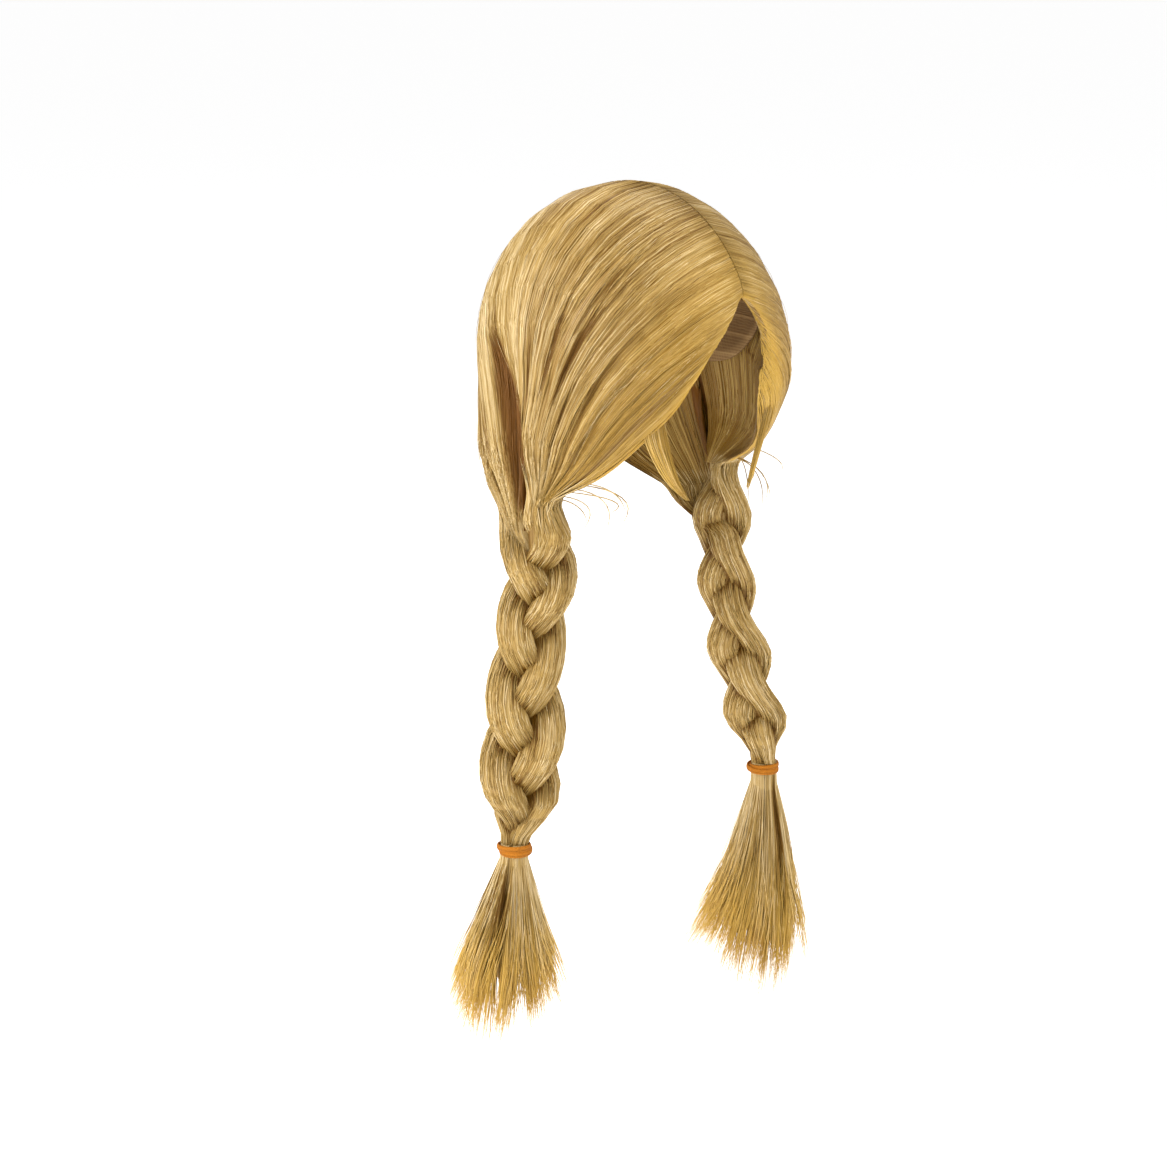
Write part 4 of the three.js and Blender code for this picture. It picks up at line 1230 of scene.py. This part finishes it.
def tassel_fibres(tassel, random):
    """Fibres from the neck, gathered into tufts towards their tips. A fibre's radius grows from the neck to
    its tuft's reach, its length is its tuft's with a ragged end, and the tufts part beside the split. Painted
    shade darkens the fibres towards the middle and beside the split."""
    ends, locks, tufts = LOOSE_ENDS, tassel.locks, TUFTS.count
    count = ends.count
    steps = np.arange(tufts) * TUFTS.step + random.uniform(-TUFTS.jitter, TUFTS.jitter, tufts)
    tuft_turn = 360 * steps % 360
    tuft_radial = np.sqrt(random.uniform(*TUFTS.radial, tufts))
    tuft_length = random.uniform(*TUFTS.length, tufts)
    tuft_sway = random.normal(0, TUFTS.sway, tufts)
    tuft_flare = random.normal(*TUFTS.flare, tufts)
    tuft_tone = random.normal(0, TUFTS.tone, tufts)
    tuft = random.integers(0, tufts, count)
    turn = tuft_turn[tuft] + random.normal(0, ends.spread, count)
    split, parted = tassel.split
    gap = apart(turn, split)
    turn = turn + np.sign(gap) * parted * np.exp(-((gap / parted) ** 2))
    to_tip = apart(tuft_turn[tuft], turn) * random.uniform(*ends.join, count)
    length = np.interp(turn % 360, locks["turn"], locks["tip"]) * tuft_length[tuft]
    length = length * random.triangular(*ends.ragged, count) + (TASSEL_TOP - TASSEL_NECK_FOOT)
    radial = np.clip(tuft_radial[tuft] + random.normal(0, ends.radial, count), *ends.radial_limits)
    tip_radial = (radial + tuft_radial[tuft]) / 2 + tuft_flare[tuft] + random.normal(0, ends.flare, count)
    turn, to_tip, length, gap = (values[:, None] for values in (turn, to_tip, length, gap))
    t = spaced(ends.points)[None] + 0 * turn
    joined = ease(t, *ends.join_t)
    radial = radial[:, None] + (tip_radial - radial)[:, None] * joined
    sway = (tuft_sway[tuft] + random.normal(0, ends.sway, count))[:, None] * np.sin(np.pi * t) * t
    tip_turn = turn + to_tip * joined + sway
    paths = tassel_point(tassel, turn + 0 * t, radial, t, length, tip_turn)
    tone = np.clip(random.normal(*ends.tone, count) + tuft_tone[tuft], 0, 1)[:, None]
    flow = together(tip_turn * TURN_STREAKS + DEPTH_STREAKS * radial, t * TASSEL_LONG, tone)
    beside = np.exp(-((gap / parted / ends.split_wide) ** 2))
    beside = beside * ease(t, *ends.split_top) * (1 - ease(t, *ends.split_foot))
    deep = ends.shade * np.maximum(1 - radial, 0) ** 1.5 + ends.split_shade * beside
    tint = together(ends.gold * ease(t, *ends.gold_t), deep, 0)
    half = (ends.half_wide * random.uniform(*ends.wider, count), ends.half_thick)
    return fibres(paths, turn_way(tip_turn), *half, flow, tint, strip(*ends.patch), *ends.taper)


for side, sign in SIDES:
    random = np.random.default_rng(TASSEL_SEEDS[side])
    skins = [tassel_core(TASSELS[side]), tassel_fibres(TASSELS[side], random)]
    put_up(f"{side}_loose_ends", f"{side}_tassel", skins, hair_finish, sign)

# Side locks
# A small tendril left loose in front of each ear, curled forward on the right side.
SIDE_LOCKS = dict(
    right=columns(
        "out back height wide thick",
        (60, -73, -136, 8, 2.4),
        (60, -75, -155, 10, 2.7),
        (58, -80, -172, 8.6, 2.5),
        (54, -87, -188, 5.6, 2.1),
        (48, -95, -200, 1.6, 1.2),
    ),
    left=columns(
        "out back height wide thick",
        (61, -76, -138, 7, 2.4),
        (60, -71, -160, 7, 2.6),
        (57, -67, -180, 5, 2.3),
        (53, -65, -197, 3.2, 1.8),
        (50, -63, -211, 1.4, 1.1),
    ),
)
TENDRIL_WIDE = 0.8
TENDRIL_LONG = 80
TENDRIL_STREAKS = 4
# The core's tint is golden with a little painted shade.
TENDRIL_CORE = Sizes(
    rows=24, around=16, end=0.9, share=0.55, tone=0.4, tint=(0.3, 0.2, 0.0), patch=(0.005, 0.29)
)
TENDRIL_FIBRES = Sizes(
    count=150, points=12, end=(0.82, 1.0), twist=0.4, area=(0.15, 1.05), tone=(0.55, 0.2),
    half=(0.35, 0.25), gold=(0.35, 0.5), patch=(0.3, 0.995), tip=0.12,
)
TENDRIL_SEEDS = dict(left=41, right=42)


def tendril_point(rows, t, angle, share):
    """Point of a tendril: an oval across its path, level, its long half-axis along the head."""
    line = {name: through_rows(values, t) for name, values in rows.items()}
    outward = unit(together(line["out"], line["back"], 0))
    sideways = together(-outward[..., 1], outward[..., 0], 0)
    middle = together(line["out"], line["back"], line["height"])
    wide = (TENDRIL_WIDE * line["wide"] * share * np.cos(angle))[..., None] * sideways
    thick = (line["thick"] * share * np.sin(angle))[..., None] * outward
    return middle + wide + thick, outward


def tendril_skins(rows, random):
    """Skins of one tendril: a thin core, darkened a little by painted shade, and fibres spread through its
    oval.
    """
    core, kind = TENDRIL_CORE, TENDRIL_FIBRES
    t, angle = np.broadcast_arrays(
        np.linspace(0, core.end, core.rows)[:, None],
        (2 * np.pi * np.arange(core.around) / core.around)[None],
    )
    rings, _ = tendril_point(rows, t, angle, core.share + 0 * t)
    flow = together(angle * TENDRIL_STREAKS, t * TENDRIL_LONG, core.tone)
    skins = [skin(rings, flow, np.array(core.tint), strip(*core.patch))]
    each = (kind.count, 1)
    t = spaced(kind.points)[None] * random.uniform(*kind.end, each)
    angle = random.uniform(0, 2 * np.pi, each) + random.normal(0, kind.twist, each) * t
    share = np.sqrt(random.uniform(*kind.area, each)) + 0 * t
    paths, outward = tendril_point(rows, t, angle, share)
    tone = np.clip(random.normal(*kind.tone, each), 0, 1)
    flow = together(angle * TENDRIL_STREAKS, t * TENDRIL_LONG, tone)
    tint = together(kind.gold[0] + kind.gold[1] * t, 0, 0)
    skins.append(fibres(paths, outward, *kind.half, flow, tint, strip(*kind.patch), kind.tip))
    return skins


for side, sign in SIDES:
    random = np.random.default_rng(TENDRIL_SEEDS[side])
    skins = tendril_skins(SIDE_LOCKS[side], random)
    put_up(f"{side}_tendril", f"{side}_side_lock", skins, hair_finish, sign)

# Floor and light
# A wide pale floor well below the tassels, soft light from all round and large lamps above.
FLOOR_DROP = 0.05
FLOOR_HALF = 40.0
FLOOR_COLOUR = (0.86, 0.86, 0.86, 1.0)
FLOOR_GLOW = 0.62
FLOOR_CLOUDS = 3.0
STUDIO_LIGHT = 0.42
WHITE = (1.0, 1.0, 1.0, 1.0)
LAMPS = columns(
    "turn rise distance size power",
    (-108, 26, 2.4, 1.6, 54),
    (-40, 10, 2.6, 1.8, 22),
    (25, 42, 2.6, 1.8, 21),
    (-20, 78, 2.4, 2.0, 29),
    (150, 40, 2.6, 1.8, 16),
)
AIM = Vector((0.0, 0.0, -0.25))


def floor_paint(start):
    """Painted floor: one pale colour with a faint cloudiness in its gloss."""
    place = start.node("TexCoord", output="Object")
    cloud = start.node("TexNoise", inputs={"Vector": place, "Scale": FLOOR_CLOUDS})
    return {
        "Base Color": FLOOR_COLOUR,
        "Roughness": 0.8 + cloud * 0.1,
        "Specular IOR Level": 0.1,
        "Emission Color": WHITE,
        "Emission Strength": FLOOR_GLOW,
    }


floor_height = cad_box[0][2] - FLOOR_DROP
corners = [(x * FLOOR_HALF, y * FLOOR_HALF, floor_height) for x, y in ((-1, -1), (1, -1), (1, 1), (-1, 1))]
floor_mesh = bpy.data.meshes.new("floor")
floor_mesh.from_pydata(corners, [], [(0, 1, 2, 3)])
floor_mesh.materials.append(finish_of("floor_paint", floor_paint))
floor = bpy.data.objects.new("floor", floor_mesh)
bpy.context.collection.objects.link(floor)
floor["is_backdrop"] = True

for turn, rise, distance, size, power in zip(*LAMPS.values()):
    lamp = bpy.data.lights.new("softbox", "AREA")
    lamp.shape = "DISK"
    lamp.size = size
    lamp.energy = power
    softbox = bpy.data.objects.new("softbox", lamp)
    away = Vector(side_direction(np.array(turn), np.array(90 - rise)))
    softbox.location = AIM + away * distance
    softbox.rotation_euler = (-away).to_track_quat("-Z", "Y").to_euler()
    bpy.context.collection.objects.link(softbox)

studio = bpy.data.worlds.new("studio")
studio.use_nodes = True
background = studio.node_tree.nodes["Background"]
background.inputs["Color"].default_value = WHITE
background.inputs["Strength"].default_value = STUDIO_LIGHT
bpy.context.scene.world = studio

size = {"cad": [list(map(float, corner)) for corner in cad_box]}
size["visual"] = [list(map(float, corner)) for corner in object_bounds()]
